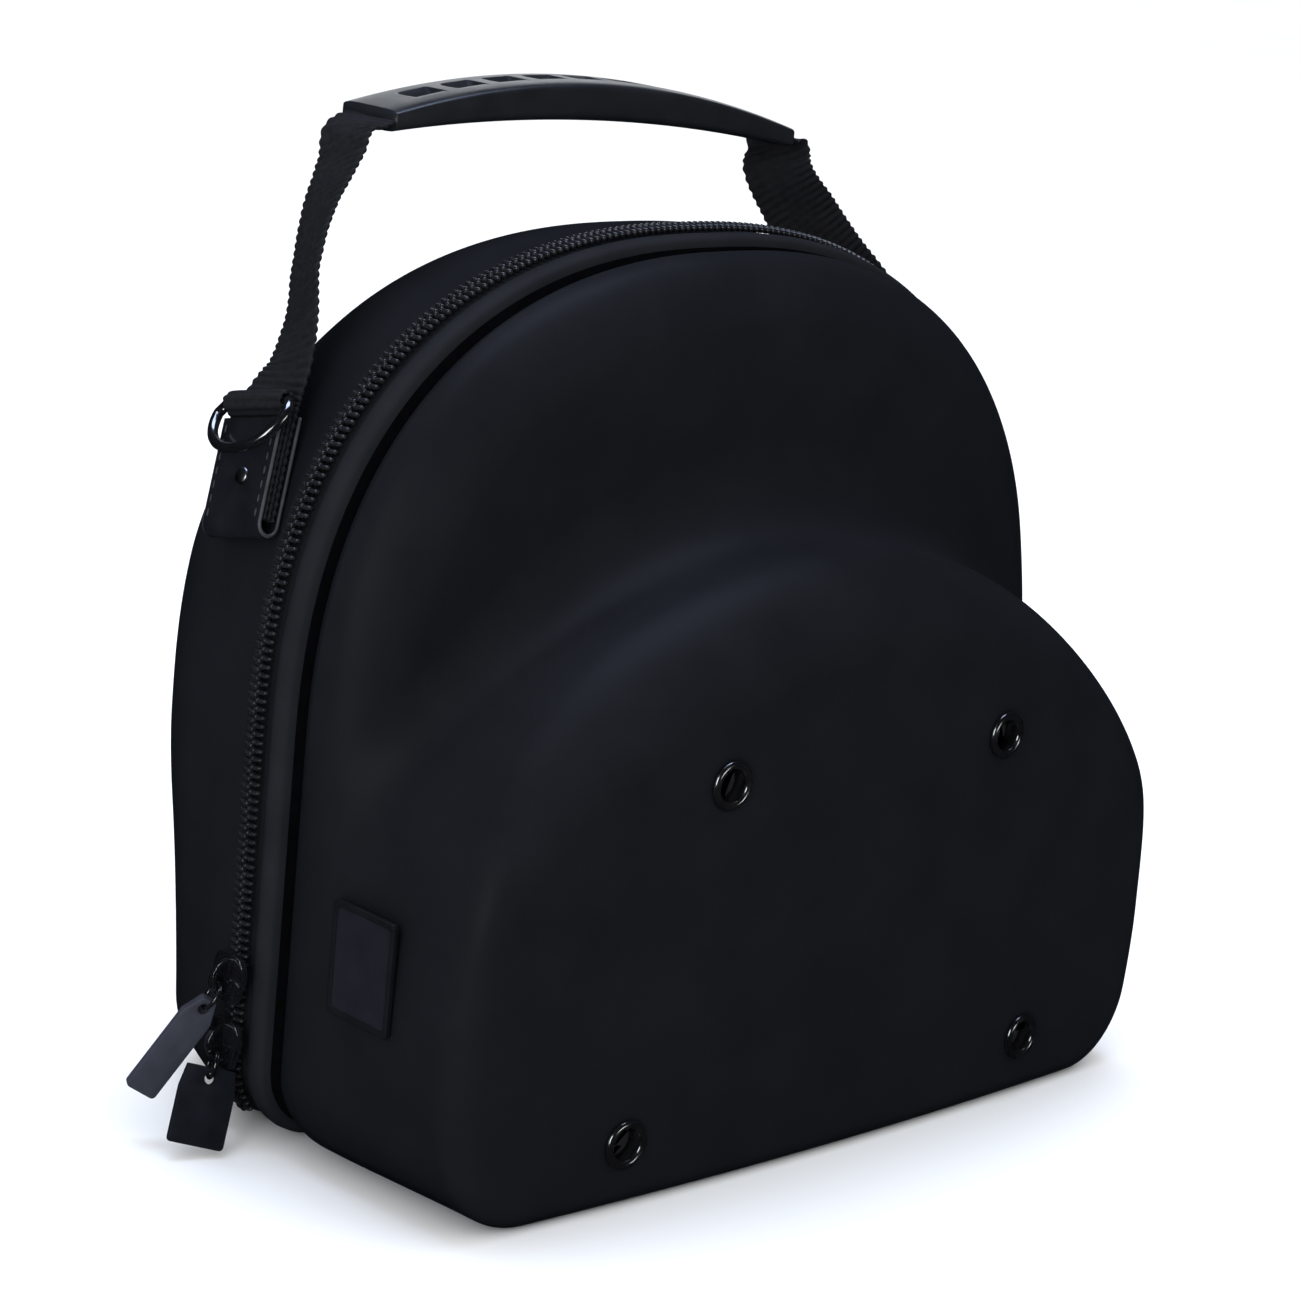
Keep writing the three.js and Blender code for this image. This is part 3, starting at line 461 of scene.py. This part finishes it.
# Shells
def shell(name, form, rim, facing, body, node, holes=()):
    """One half of the case. Rays from a middle point meet the outer form, whose rim is rounded, and the
    same form sunk by the wall for the inside. Rows are even by length and gather where the wall bends."""
    turns, rows, inner_rows = SHELL["turns"], SHELL["rows"], SHELL["inner_rows"]
    edge_y = facing * rim["edge"]
    centre = np.array([0, edge_y + facing * SHELL["sink"], RAY_Z])

    def rolled(x, y, z):
        far = facing * (y - edge_y)
        return form(x, y, z) + rim["roll"] * np.clip(1 - far / rim["length"], 0, 1) ** 2

    def rounded(x, y, z):
        return round_edge(rolled(x, y, z), facing * (edge_y - y), rim["round"])

    def rim_reach(a, level):
        return solve(lambda d: form(d * np.cos(a), edge_y, RAY_Z + d * np.sin(a)) < level, RIM_FAR, a.shape)

    fine = np.linspace(0, 2 * math.pi, SHELL["trial_turns"])
    reach = rim_reach(fine, 0.0)
    outline = np.stack([reach * np.cos(fine), reach * np.sin(fine)], -1)
    angles = np.interp(spread(outline, turns, SHELL["rim_bend"], closed=True), np.arange(len(fine)), fine)

    def cast(surface, level, lift):
        """Where rays, lifted from the rim's plane, meet a level of a surface."""
        turn = np.repeat(angles[:, None], lift.shape[1], 1)
        level_way = np.cos(lift)
        ray = np.stack([level_way * np.cos(turn), facing * np.sin(lift), level_way * np.sin(turn)], -1)

        def inside(d):
            p = centre + ray * d[..., None]
            return surface(p[..., 0], p[..., 1], p[..., 2]) < level

        return centre + ray * solve(inside, WALL_FAR, turn.shape)[..., None]

    def wall(surface, level, count, rim_level):
        start = -np.arctan2(SHELL["sink"], rim_reach(angles, rim_level))
        part = np.linspace(0, 1, SHELL["trial_rows"]) ** SHELL["gather"]
        lift = start[:, None] + (math.pi / 2 - start[:, None]) * part
        even = np.stack([np.interp(spread(line, count, SHELL["wall_bend"]), np.arange(part.size), row)
                         for line, row in zip(cast(surface, level, lift), lift)])
        even[:, 0] = start + SHELL["start"]
        return cast(surface, level, even)

    outer = wall(rounded, 0.0, rows, -rim["round"] - rim["roll"])
    inner = wall(rolled, -WALL, inner_rows, -WALL - rim["roll"])
    points = np.concatenate([outer[:, ::-1], inner], 1).reshape(-1, 3)
    faces = grid_faces(turns, rows + inner_rows, wrap_rows=True)
    lined = np.arange(len(faces)) % (rows + inner_rows - 1) > rows
    corners = points[faces]
    keep = np.ones(len(faces), bool)
    for x, z in holes:
        far = np.hypot(corners[:, :, 0] - x, corners[:, :, 2] - z).max(1)
        keep &= ~((far < SHELL["hole"]) & (corners[:, :, 1].mean(1) < SHELL["hole_before"]))
    faces = faces[keep][:, ::-1] if facing > 0 else faces[keep]
    piece = add_piece(name, points, faces, [CLOTH, LINING], body, replaces=(node,))
    second_finish(piece, lined[keep])
    work = bmesh.new()
    work.from_mesh(piece.data)
    bmesh.ops.remove_doubles(work, verts=work.verts, dist=SHELL["weld"])
    work.to_mesh(piece.data)
    work.free()


shell("shell_back", rear_form, REAR_RIM, 1, "back_half", "back_shell")
shell("shell_front", front_form, FRONT_RIM, -1, "front_half", "front_shell", EYELETS.values())


# Zip: gusset tapes and coil turns
def rim_points(angles, sunk):
    """Points on the zip's outline at angles about its middle, sunk inwards."""
    a = np.asarray(angles, float)
    reach = solve(lambda d: rim_arch(d * np.cos(a), RAY_Z + d * np.sin(a), 0.0) < -sunk, RIM_FAR, a.shape)
    return np.stack([reach * np.cos(a), np.zeros_like(a), RAY_Z + reach * np.sin(a)], -1)


FINE_TURN = np.linspace(-math.pi / 2, 1.5 * math.pi, BAND["trial"])
RIM = rim_points(FINE_TURN, 0.0)
RIM_REACH = path_length(RIM)


def band(name, node, body, profile, shaded_sides=()):
    """A tape round the whole rim: a closed profile of (y, sunk) carried along the zip's outline. The last
    argument names the profile's sides down in the groove, which get painted shade: a near-black finish for
    the groove's shadow."""
    place = spread(RIM, BAND["steps"], BAND["bend"], closed=True)
    angles = np.interp(place, np.arange(len(FINE_TURN)), FINE_TURN)
    rings = np.stack([rim_points(angles, sunk) + (0, y, 0) for y, sunk in profile], 1)
    reach = np.interp(angles, FINE_TURN, RIM_REACH) * MM
    girth = path_length(np.asarray(profile)) * MM
    uv = np.stack(np.broadcast_arrays(reach[:, None], girth[None, :]), -1)
    piece = tube_piece(name, rings, [TAPE, GROOVE_SHADE], body, loop=True, uv=uv, replaces=(node,))
    second_finish(piece, np.isin(np.arange(len(piece.data.polygons)) % len(profile), shaded_sides))


def beads(name, reach, y, sunk, size, lean, body, replaces=()):
    """Rounded bodies along the zip's outline: size is half their length along the rim, across it and
    outwards, and lean turns them in the surface."""
    ball = pill(BEAD) * size
    ball[:, 0] += lean * ball[:, 1]
    angles = np.interp(reach, RIM_REACH, FINE_TURN)
    ahead = unit(rim_points(angles + BEAD_STEP, sunk) - rim_points(angles - BEAD_STEP, sunk))
    out = np.stack([ahead[:, 2], np.zeros(len(ahead)), -ahead[:, 0]], -1)
    axes = (ahead[:, None], (0, 1, 0), out[:, None])
    copies(name, ball, BEAD, rim_points(angles, sunk) + (0, y, 0), axes, NYLON, body, replaces)


def coil(label, side, body, shift):
    """One row of the coil: a bar across the tape for each turn, and the hook that meets the other row."""
    rising = slice(1, len(RIM) // 2)
    foot = np.interp(COIL["foot"], RIM[rising, 2], RIM_REACH[rising])
    turns = np.arange(foot, RIM_REACH[-1] - foot, COIL["pitch"]) + shift
    lean = -side * COIL["lean"]
    beads(f"coil_{label}", turns, side * COIL["bar_y"], COIL["bar_sunk"], COIL["bar"], lean, body,
          (f"zip_coil_{label}",))
    beads(f"coil_hooks_{label}", turns, side * COIL["hook_y"], COIL["hook_sunk"], COIL["hook"], lean, body)


band("tape_front", "front_band", "front_half", FRONT_TAPE, FRONT_SHADED_SIDES)
band("tape_back", "back_band", "back_half", BACK_TAPE)
coil("front", -1, "front_half", 0.0)
coil("back", 1, "back_half", COIL["pitch"] / 2)


# Anchors, straps and grip
def anchor_frame(side):
    """A function from (out, across, up) in the tab's own frame to a place in the case's, and its axes."""
    lean, turn = math.radians(ANCHOR["lean"]), math.radians(ANCHOR["turn"])
    y, z = ANCHOR["y"], ANCHOR["height"]
    reach = solve(lambda d: rear_form(side * d, np.full(1, y), np.full(1, z)) < 0, RIM_FAR, (1,))[0]
    out = np.array([side * math.cos(lean), 0, math.sin(lean)])
    up = unit(np.array([-side * math.sin(lean), math.tan(turn), math.cos(lean)]))
    back = -side * np.cross(out, up)
    seat = np.array([side * reach, y, z]) + ANCHOR["off"] * out

    def at(n, across, t):
        n, across, t = np.broadcast_arrays(*(np.asarray(v, float) for v in (n, across, t)))
        return seat + n[..., None] * out + across[..., None] * back + t[..., None] * up

    return at, out, back, up


def ribbon(name, line, across, thick, material, slot, pitch=0.0, rib=0.0, scallop=0.0, slant=0.0,
           replaces=(), edging=None):
    """A strip of the webbing's width carried along a line: its section is a flat rounded bar, swelling in
    ribs where pitch is given, with edges that step in and out with the ribs. edging is the finish of its
    cut edges; on the tabs that finish is lighter than the vinyl, partly the edges' own colour and partly a
    painted highlight."""
    reach = path_length(line)
    tangent = unit(np.gradient(line, axis=0))
    across = unit(across - (across * tangent).sum(1, keepdims=True) * tangent)
    through = np.cross(tangent, across)
    t = circle(STRIP["around"])
    wide = signed_power(np.cos(t), STRIP["side_power"]) * WEBBING["width"] / 2
    tall = signed_power(np.sin(t), STRIP["top_power"]) * thick / 2
    swell, edge = 1.0, 1.0
    if pitch:
        phase = 2 * math.pi * (reach[:, None] + slant * wide[None]) / pitch
        swell = 1 + rib * (np.abs(np.sin(phase / 2)) - RIB_MEAN)
        edge = 1 - scallop * (0.5 + 0.5 * np.cos(phase))
    w = (wide[None] * edge)[..., None]
    h = (tall[None] * swell)[..., None]
    rings = line[:, None] + w * across[:, None] + h * through[:, None]
    uv = np.stack(np.broadcast_arrays(reach[:, None], wide[None]), -1) * MM
    finishes = [material, edging or material]
    piece = tube_piece(name, rings, finishes, "back_half", uv=uv, replaces=replaces)
    middle = (np.arange(len(piece.data.polygons)) % t.size + 0.5) * 2 * math.pi / t.size
    second_finish(piece, np.abs(np.cos(middle)) > STRIP["cut"])


def grip_line(x):
    return GRIP["crest"] + (GRIP["end"] - GRIP["crest"]) * (x / GRIP["half"]) ** 2 - GRIP["tilt"] * x


def tab_path(steps=30):
    """The tab's middle line in (out, up): down the inner leaf, round the fold, up the outer leaf."""
    mid, r = ANCHOR["gap"] + ANCHOR["fold"], ANCHOR["fold"] - ANCHOR["leaf"] / 2
    bend = np.linspace(math.pi, 2 * math.pi, steps)
    down = np.linspace(ANCHOR["tab_top"] + ANCHOR["inner_top"], ANCHOR["fold"], steps, endpoint=False)
    up = np.linspace(ANCHOR["fold"], ANCHOR["tab_top"], steps + 1)[1:]
    n = np.concatenate([np.full(steps, mid - r), mid + r * np.cos(bend), np.full(steps, mid + r)])
    return n, np.concatenate([down, ANCHOR["fold"] + r * np.sin(bend), up])


def loop_path(up_steps=60, bend_steps=40, blend_steps=12, down_steps=50):
    """The loop's middle line in (out, up): up behind the bar, over it, and down into the tab."""
    eye, out = LOOP["eye"], LOOP["eye_out"]
    r = LOOP["hole"] + LOOP["skin"] / 2
    low = LOOP["outer"] - LOOP["skin"] / 2
    bend = np.linspace(math.pi, -LOOP["wrap"], bend_steps)
    rise = np.linspace(LOOP["foot"], eye, up_steps, endpoint=False)
    fall = np.linspace(ANCHOR["tab_top"] + LOOP["tuck"], LOOP["foot"], down_steps)
    end_n, end_t = out + r * math.cos(LOOP["wrap"]), eye - r * math.sin(LOOP["wrap"])
    blend = np.linspace(0, 1, blend_steps)[1:-1]
    n = np.concatenate([np.full(up_steps, out - r), out + r * np.cos(bend),
                        end_n + (low - end_n) * ease(blend), np.full(down_steps, low)])
    return n, np.concatenate([rise, eye + r * np.sin(bend), end_t + (fall[0] - end_t) * blend, fall])


def d_ring(label, at, out, back, up, bow_steps=60, bar_steps=24, around=14):
    """A D of wire: a straight bar in the loop and a bow that hangs out and down."""
    tilt = math.radians(RING["tilt"])
    down = out * math.sin(tilt) - up * math.cos(tilt)
    a = np.linspace(RING["bend"], 1 - RING["bend"], bow_steps) * math.pi
    hang = RING["shoulder"] + (RING["drop"] - RING["shoulder"]) * np.sin(a) ** RING["bow"]
    bow = np.stack([RING["half"] * np.cos(a), hang], -1)
    bar = np.stack([np.linspace(-RING["bar"], RING["bar"], bar_steps), np.zeros(bar_steps)], -1)
    flat = np.concatenate([bar, bow])
    path = at(LOOP["eye_out"], 0, LOOP["eye"]) + flat[:, :1] * back + flat[:, 1:] * down
    normal = unit(np.cross(down, back))
    side = np.cross(unit(np.roll(path, -1, 0) - np.roll(path, 1, 0)), normal)
    turn = circle(around)
    rings = (path[:, None] + RING["wire"] * np.cos(turn)[None, :, None] * side[:, None]
             + RING["wire"] * np.sin(turn)[None, :, None] * normal)
    tube_piece(f"d_wire_{label}", rings, METAL, "back_half", loop=True,
               replaces=(f"d_ring_{label}",))


def rivet(name, seat, out, back, up, steps=10, around=28):
    """A low dome that closes the tab: circles that shrink as they rise."""
    turn = circle(around)
    spokes = np.cos(turn)[:, None] * back + np.sin(turn)[:, None] * up
    rings = [seat + RIVET["radius"] * max(math.cos(a), RIVET["tip"]) * spokes
             + (RIVET["sunk"] + RIVET["rise"] * math.sin(a)) * out
             for a in np.linspace(0, math.pi / 2, steps)]
    tube_piece(name, np.array(rings), STUD, "back_half")


def strap_line(at, side, steps=420):
    """The strap's route, as in the CAD: up out of the tab, leaning in and back to the grip's end."""
    middle = 0.5 * (ANCHOR["leaf"] + ANCHOR["slack"] + LOOP["inner"])
    sway = GRIP["tilt"] * side * GRIP["half"]
    drawn = STRAP_DRAWN if side > 0 else 0.0
    end = side * (GRIP["half"] - GRIP["in_end"])
    knots = [at(middle, 0, LOOP["foot"])]
    knots += [at(middle + more, 0, height) for height, more in STRAP_IN_TAB]
    knots += [np.array([side * (x - share * drawn), y, z - sway * float(ease((z - SWAY_FROM) / SWAY_RISE))])
              for x, y, z, share in STRAP_ROUTE]
    knots += [np.array([end, GRIP["y"], grip_line(end)])]
    line, reach = spline(knots, steps)
    lean = np.interp(reach / reach[-1], np.linspace(0, 1, len(STRAP_LEAN)), STRAP_LEAN)
    turn = np.radians(lean) * (STRAP_TWIST if side > 0 else 1.0)
    return line, np.stack([-side * np.sin(turn), np.cos(turn), np.zeros_like(turn)], -1)


def handle_side(label, side):
    """One end of the handle: tab with its stitches and rivet, loop, D-ring and strap."""
    at, out, back, up = anchor_frame(side)
    n, t = tab_path()
    # The tab's cut edges take the lighter edge finish, which is partly a painted highlight
    ribbon(f"tab_leather_{label}", at(n, 0, t), back[None], ANCHOR["leaf"], VINYL, "shiny_vinyl",
           replaces=(f"tab_{label}",), edging=EDGE_PAINT_AND_HIGHLIGHT)
    n, t = loop_path()
    ribbon(f"loop_web_{label}", at(n, 0, t), back[None], LOOP["skin"], WOVEN, "webbing", **LOOP_RIBS,
           replaces=(f"loop_{label}",))
    d_ring(label, at, out, back, up)
    line, across = strap_line(at, side)
    ribbon(f"strap_web_{label}", line, across, WEBBING["thick"], WOVEN, "webbing", **STRAP_RIBS,
           replaces=(f"strap_{label}",))
    outer = ANCHOR["gap"] + 2 * ANCHOR["fold"]
    heights = np.arange(STITCH["first"], ANCHOR["tab_top"] - STITCH["last"], STITCH["pitch"])
    seats = np.concatenate([at(outer, -STITCH["off"], heights), at(outer, STITCH["off"], heights)])
    rod = pill(ROD) * (STITCH["radius"], STITCH["length"] / 2, STITCH["radius"])
    copies(f"tab_stitches_{label}", rod, ROD, seats, (np.cross(up, out), up, out), THREAD, "back_half")
    rivet(f"tab_rivet_{label}", at(outer, RIVET["across"], RIVET["up"]), out, back, up)


def grip(steps=420, around=72):
    """An arched bar, thick in the middle, with rounded edges and ovals sunk in the top."""
    x = np.linspace(-GRIP["half"], GRIP["half"], steps)[:, None]
    t = circle(around)[None]
    thick = GRIP["thick_end"] + (GRIP["thick_mid"] - GRIP["thick_end"]) * (1 - (x / GRIP["half"]) ** 2)
    y = signed_power(np.cos(t), GRIP["side_power"]) * GRIP["width"] / 2
    h = signed_power(np.sin(t), GRIP["top_power"]) * thick / 2
    nearest = np.clip(np.round(x / OVAL["pitch"]), -(OVAL["count"] // 2), OVAL["count"] // 2)
    straight = OVAL["half"] - OVAL["width"] / 2
    off = np.maximum(np.abs(x - nearest * OVAL["pitch"]) - straight, 0)
    inside = OVAL["width"] / 2 - np.hypot(off, y)
    deep = np.minimum(OVAL["deep"], OVAL["share"] * thick) * ease(inside / OVAL["edge"] + OVAL["lift"])
    z = grip_line(x) + h - np.where(np.sin(t) > 0, deep, 0.0)
    rings = np.stack(np.broadcast_arrays(x, GRIP["y"] + y, z), -1)
    tube_piece("grip_moulding", rings, RUBBER, "back_half", replaces=("grip",))


handle_side("left", -1)
handle_side("right", 1)
grip()


# Eyelets, patch and zip hardware
def eyelet(name, x, z, arc_steps=14, around=56):
    """A turned ring: a rounded flange on the face, a tube through the wall and a washer inside."""
    under = -WALL - EYELET["inside"]
    flange = [(EYELET["middle"] - EYELET["half"] * math.cos(a),
               EYELET["seat"] + EYELET["rise"] * math.sin(a) ** EYELET["power"])
              for a in np.linspace(0, math.pi, arc_steps)]
    profile = np.array([*flange, (EYELET["tube"], EYELET["under"]), (EYELET["tube"], under),
                        (EYELET["washer"], under), (EYELET["washer"], under - EYELET["thick"]),
                        (EYELET["hole"], under - EYELET["thick"])])
    turn = circle(around)
    r, h = profile[:, 0], profile[:, 1]
    slope = 2 * FRONT["crown"] * x / HALF_WIDTH ** 2
    wide = np.cos(turn)[:, None] * r
    tall = np.sin(turn)[:, None] * r
    rings = np.stack([x + wide + slope * h, face_y(x) - h + slope * wide, z + tall], -1)
    tube_piece(f"{name}_turned", rings, METAL, "front_half", loop=True, replaces=(name,))


def bevelled(node, material, body, width):
    """The CAD solid itself with its corners welded and its edges rounded."""
    mesh = frame["nodes"][node].data.copy()
    work = bmesh.new()
    work.from_mesh(mesh)
    bmesh.ops.remove_doubles(work, verts=work.verts, dist=TRIM["weld"])
    flat = math.radians(TRIM["flat"])
    bmesh.ops.dissolve_limit(work, angle_limit=flat, verts=work.verts, edges=work.edges)
    work.to_mesh(mesh)
    work.free()
    mesh.materials.clear()
    mesh.materials.append(material)
    piece = bpy.data.objects.new(f"{node}_finished", mesh)
    bpy.context.scene.collection.objects.link(piece)
    edge = piece.modifiers.new("edge", "BEVEL")
    edge.width = width * MM
    edge.segments = TRIM["segments"]
    edge.angle_limit = math.radians(TRIM["sharp"])
    edge.harden_normals = True
    mesh.polygons.foreach_set("use_smooth", np.ones(len(mesh.polygons), bool))
    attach(piece, body)
    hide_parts(node)
    return piece


def sunk_ground(piece, material):
    """Gives the widest face that looks outwards, to the left, a finish of its own."""
    piece.data.materials.append(material)
    outer = [p for p in piece.data.polygons if p.normal.x < TRIM["left"]]
    max(outer, key=lambda p: p.area).material_index = 1


for node, (x, z) in EYELETS.items():
    eyelet(node, x, z)
for part in ("slider", "pull_ring"):
    for label in ("upper", "lower"):
        bevelled(f"{part}_{label}", METAL, "back_half", BEVEL[part])
for label, finish in (("long", PULLS), ("square", DARK_PULL)):
    bevelled(f"pull_tab_{label}", finish, "back_half", BEVEL["pull_tab"])
sunk_ground(bevelled("patch", PATCH, "front_half", BEVEL["patch"]), PATCH_GROUND)


# The cloth hinge along the base
def hinge_strip(cols=60, rows=24):
    """A flat strip of cloth under the two tapes, wide enough to reach both."""
    x, y = np.meshgrid(np.linspace(-HINGE["half"], HINGE["half"], cols),
                       np.linspace(HINGE["front"], HINGE["back"], rows), indexing="ij")
    points = np.stack([x, y, np.full_like(x, HINGE["height"])], -1).reshape(-1, 3)
    uv = points[:, :2] * MM
    piece = add_piece("hinge_cloth", points, grid_faces(cols, rows), TAPE, None, uv)
    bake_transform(piece)


hinge_strip()


# Stage: pale floor, soft light and the photo's camera
def add_object(name, data, axes=None, place=(0, 0, 0)):
    """Links a new object to the scene, turned to three axes at a place where they are given."""
    thing = bpy.data.objects.new(name, data)
    bpy.context.scene.collection.objects.link(thing)
    if axes:
        thing.matrix_world = Matrix(np.vstack([np.column_stack([*axes, place]), (0, 0, 0, 1)]).tolist())
    return thing


def floor():
    corners = [(-FLOOR_HALF, -FLOOR_HALF, 0), (FLOOR_HALF, -FLOOR_HALF, 0), (FLOOR_HALF, FLOOR_HALF, 0),
               (-FLOOR_HALF, FLOOR_HALF, 0)]
    mesh = bpy.data.meshes.new("floor")
    mesh.from_pydata(corners, [], [(0, 1, 2, 3)])
    mesh.materials.append(FLOOR_PAINT)
    piece = add_object("floor", mesh)
    piece.visible_glossy = False


def sky():
    """A world that is brighter overhead and that mirror-like reflections don't see."""
    world = bpy.data.worlds.new("studio")
    bpy.context.scene.world = world
    world.use_nodes = True
    world.cycles_visibility.glossy = False
    tree = world.node_tree
    low = next(n for n in tree.nodes if n.type == "BACKGROUND")
    high = tree.nodes.new("ShaderNodeBackground")
    for node, label in ((low, "low"), (high, "high")):
        node.inputs["Color"].default_value = SKY[f"{label}_colour"]
        node.inputs["Strength"].default_value = SKY[label]
    way = Value(tree, tree.nodes.new("ShaderNodeTexCoord").outputs["Generated"])
    height = way.axis(2).ramp(*SKY["rise"], 0.0, 1.0)
    mixed = tree.nodes.new("ShaderNodeMixShader")
    for index, socket in enumerate((height.socket, low.outputs[0], high.outputs[0])):
        tree.links.new(socket, mixed.inputs[index])
    tree.links.new(mixed.outputs[0], next(n for n in tree.nodes if n.type == "OUTPUT_WORLD").inputs[0])


def lamps():
    """Area lamps. The two cards light only the shiny pieces, for their glints."""
    shiny = bpy.data.collections.new("shiny_pieces")
    for piece in bpy.data.objects:
        finishes = piece.data.materials if piece.type == "MESH" else ()
        if finishes and finishes[0] in (METAL, STUD, RUBBER, VINYL, NYLON):
            shiny.objects.link(piece)
    for name, place, aim, size, watts, colour in LAMPS:
        light = bpy.data.lights.new(name, "AREA")
        light.shape = "RECTANGLE"
        light.size, light.size_y = size
        light.energy = watts
        light.color = colour
        way = unit(np.array(aim) - np.array(place))
        right = unit(np.cross(way, (0, 0, 1)))
        lamp = add_object(name, light, (right, np.cross(right, way), -way), place)
        if name.endswith("card"):
            lamp.light_linking.receiver_collection = shiny


def camera():
    azimuth, elevation, roll = (math.radians(CAMERA[k]) for k in ("azimuth", "elevation", "roll"))
    back = np.array([math.sin(azimuth) * math.cos(elevation), -math.cos(azimuth) * math.cos(elevation),
                     math.sin(elevation)])
    right = np.array([math.cos(azimuth), math.sin(azimuth), 0])
    up = np.cross(back, right)
    right, up = right * math.cos(roll) + up * math.sin(roll), up * math.cos(roll) - right * math.sin(roll)
    data = bpy.data.cameras.new("camera")
    data.lens = CAMERA["lens"]
    data.sensor_width = CAMERA["sensor"]
    data.clip_start = CAMERA["near"]
    place = to_frame(np.array(CAMERA["target"]) + back * CAMERA["distance"])
    bpy.context.scene.camera = add_object("camera", data, (right, up, back), place)


floor()
sky()
lamps()
camera()
bpy.context.scene.view_settings.view_transform = "Standard"

bpy.context.view_layer.update()
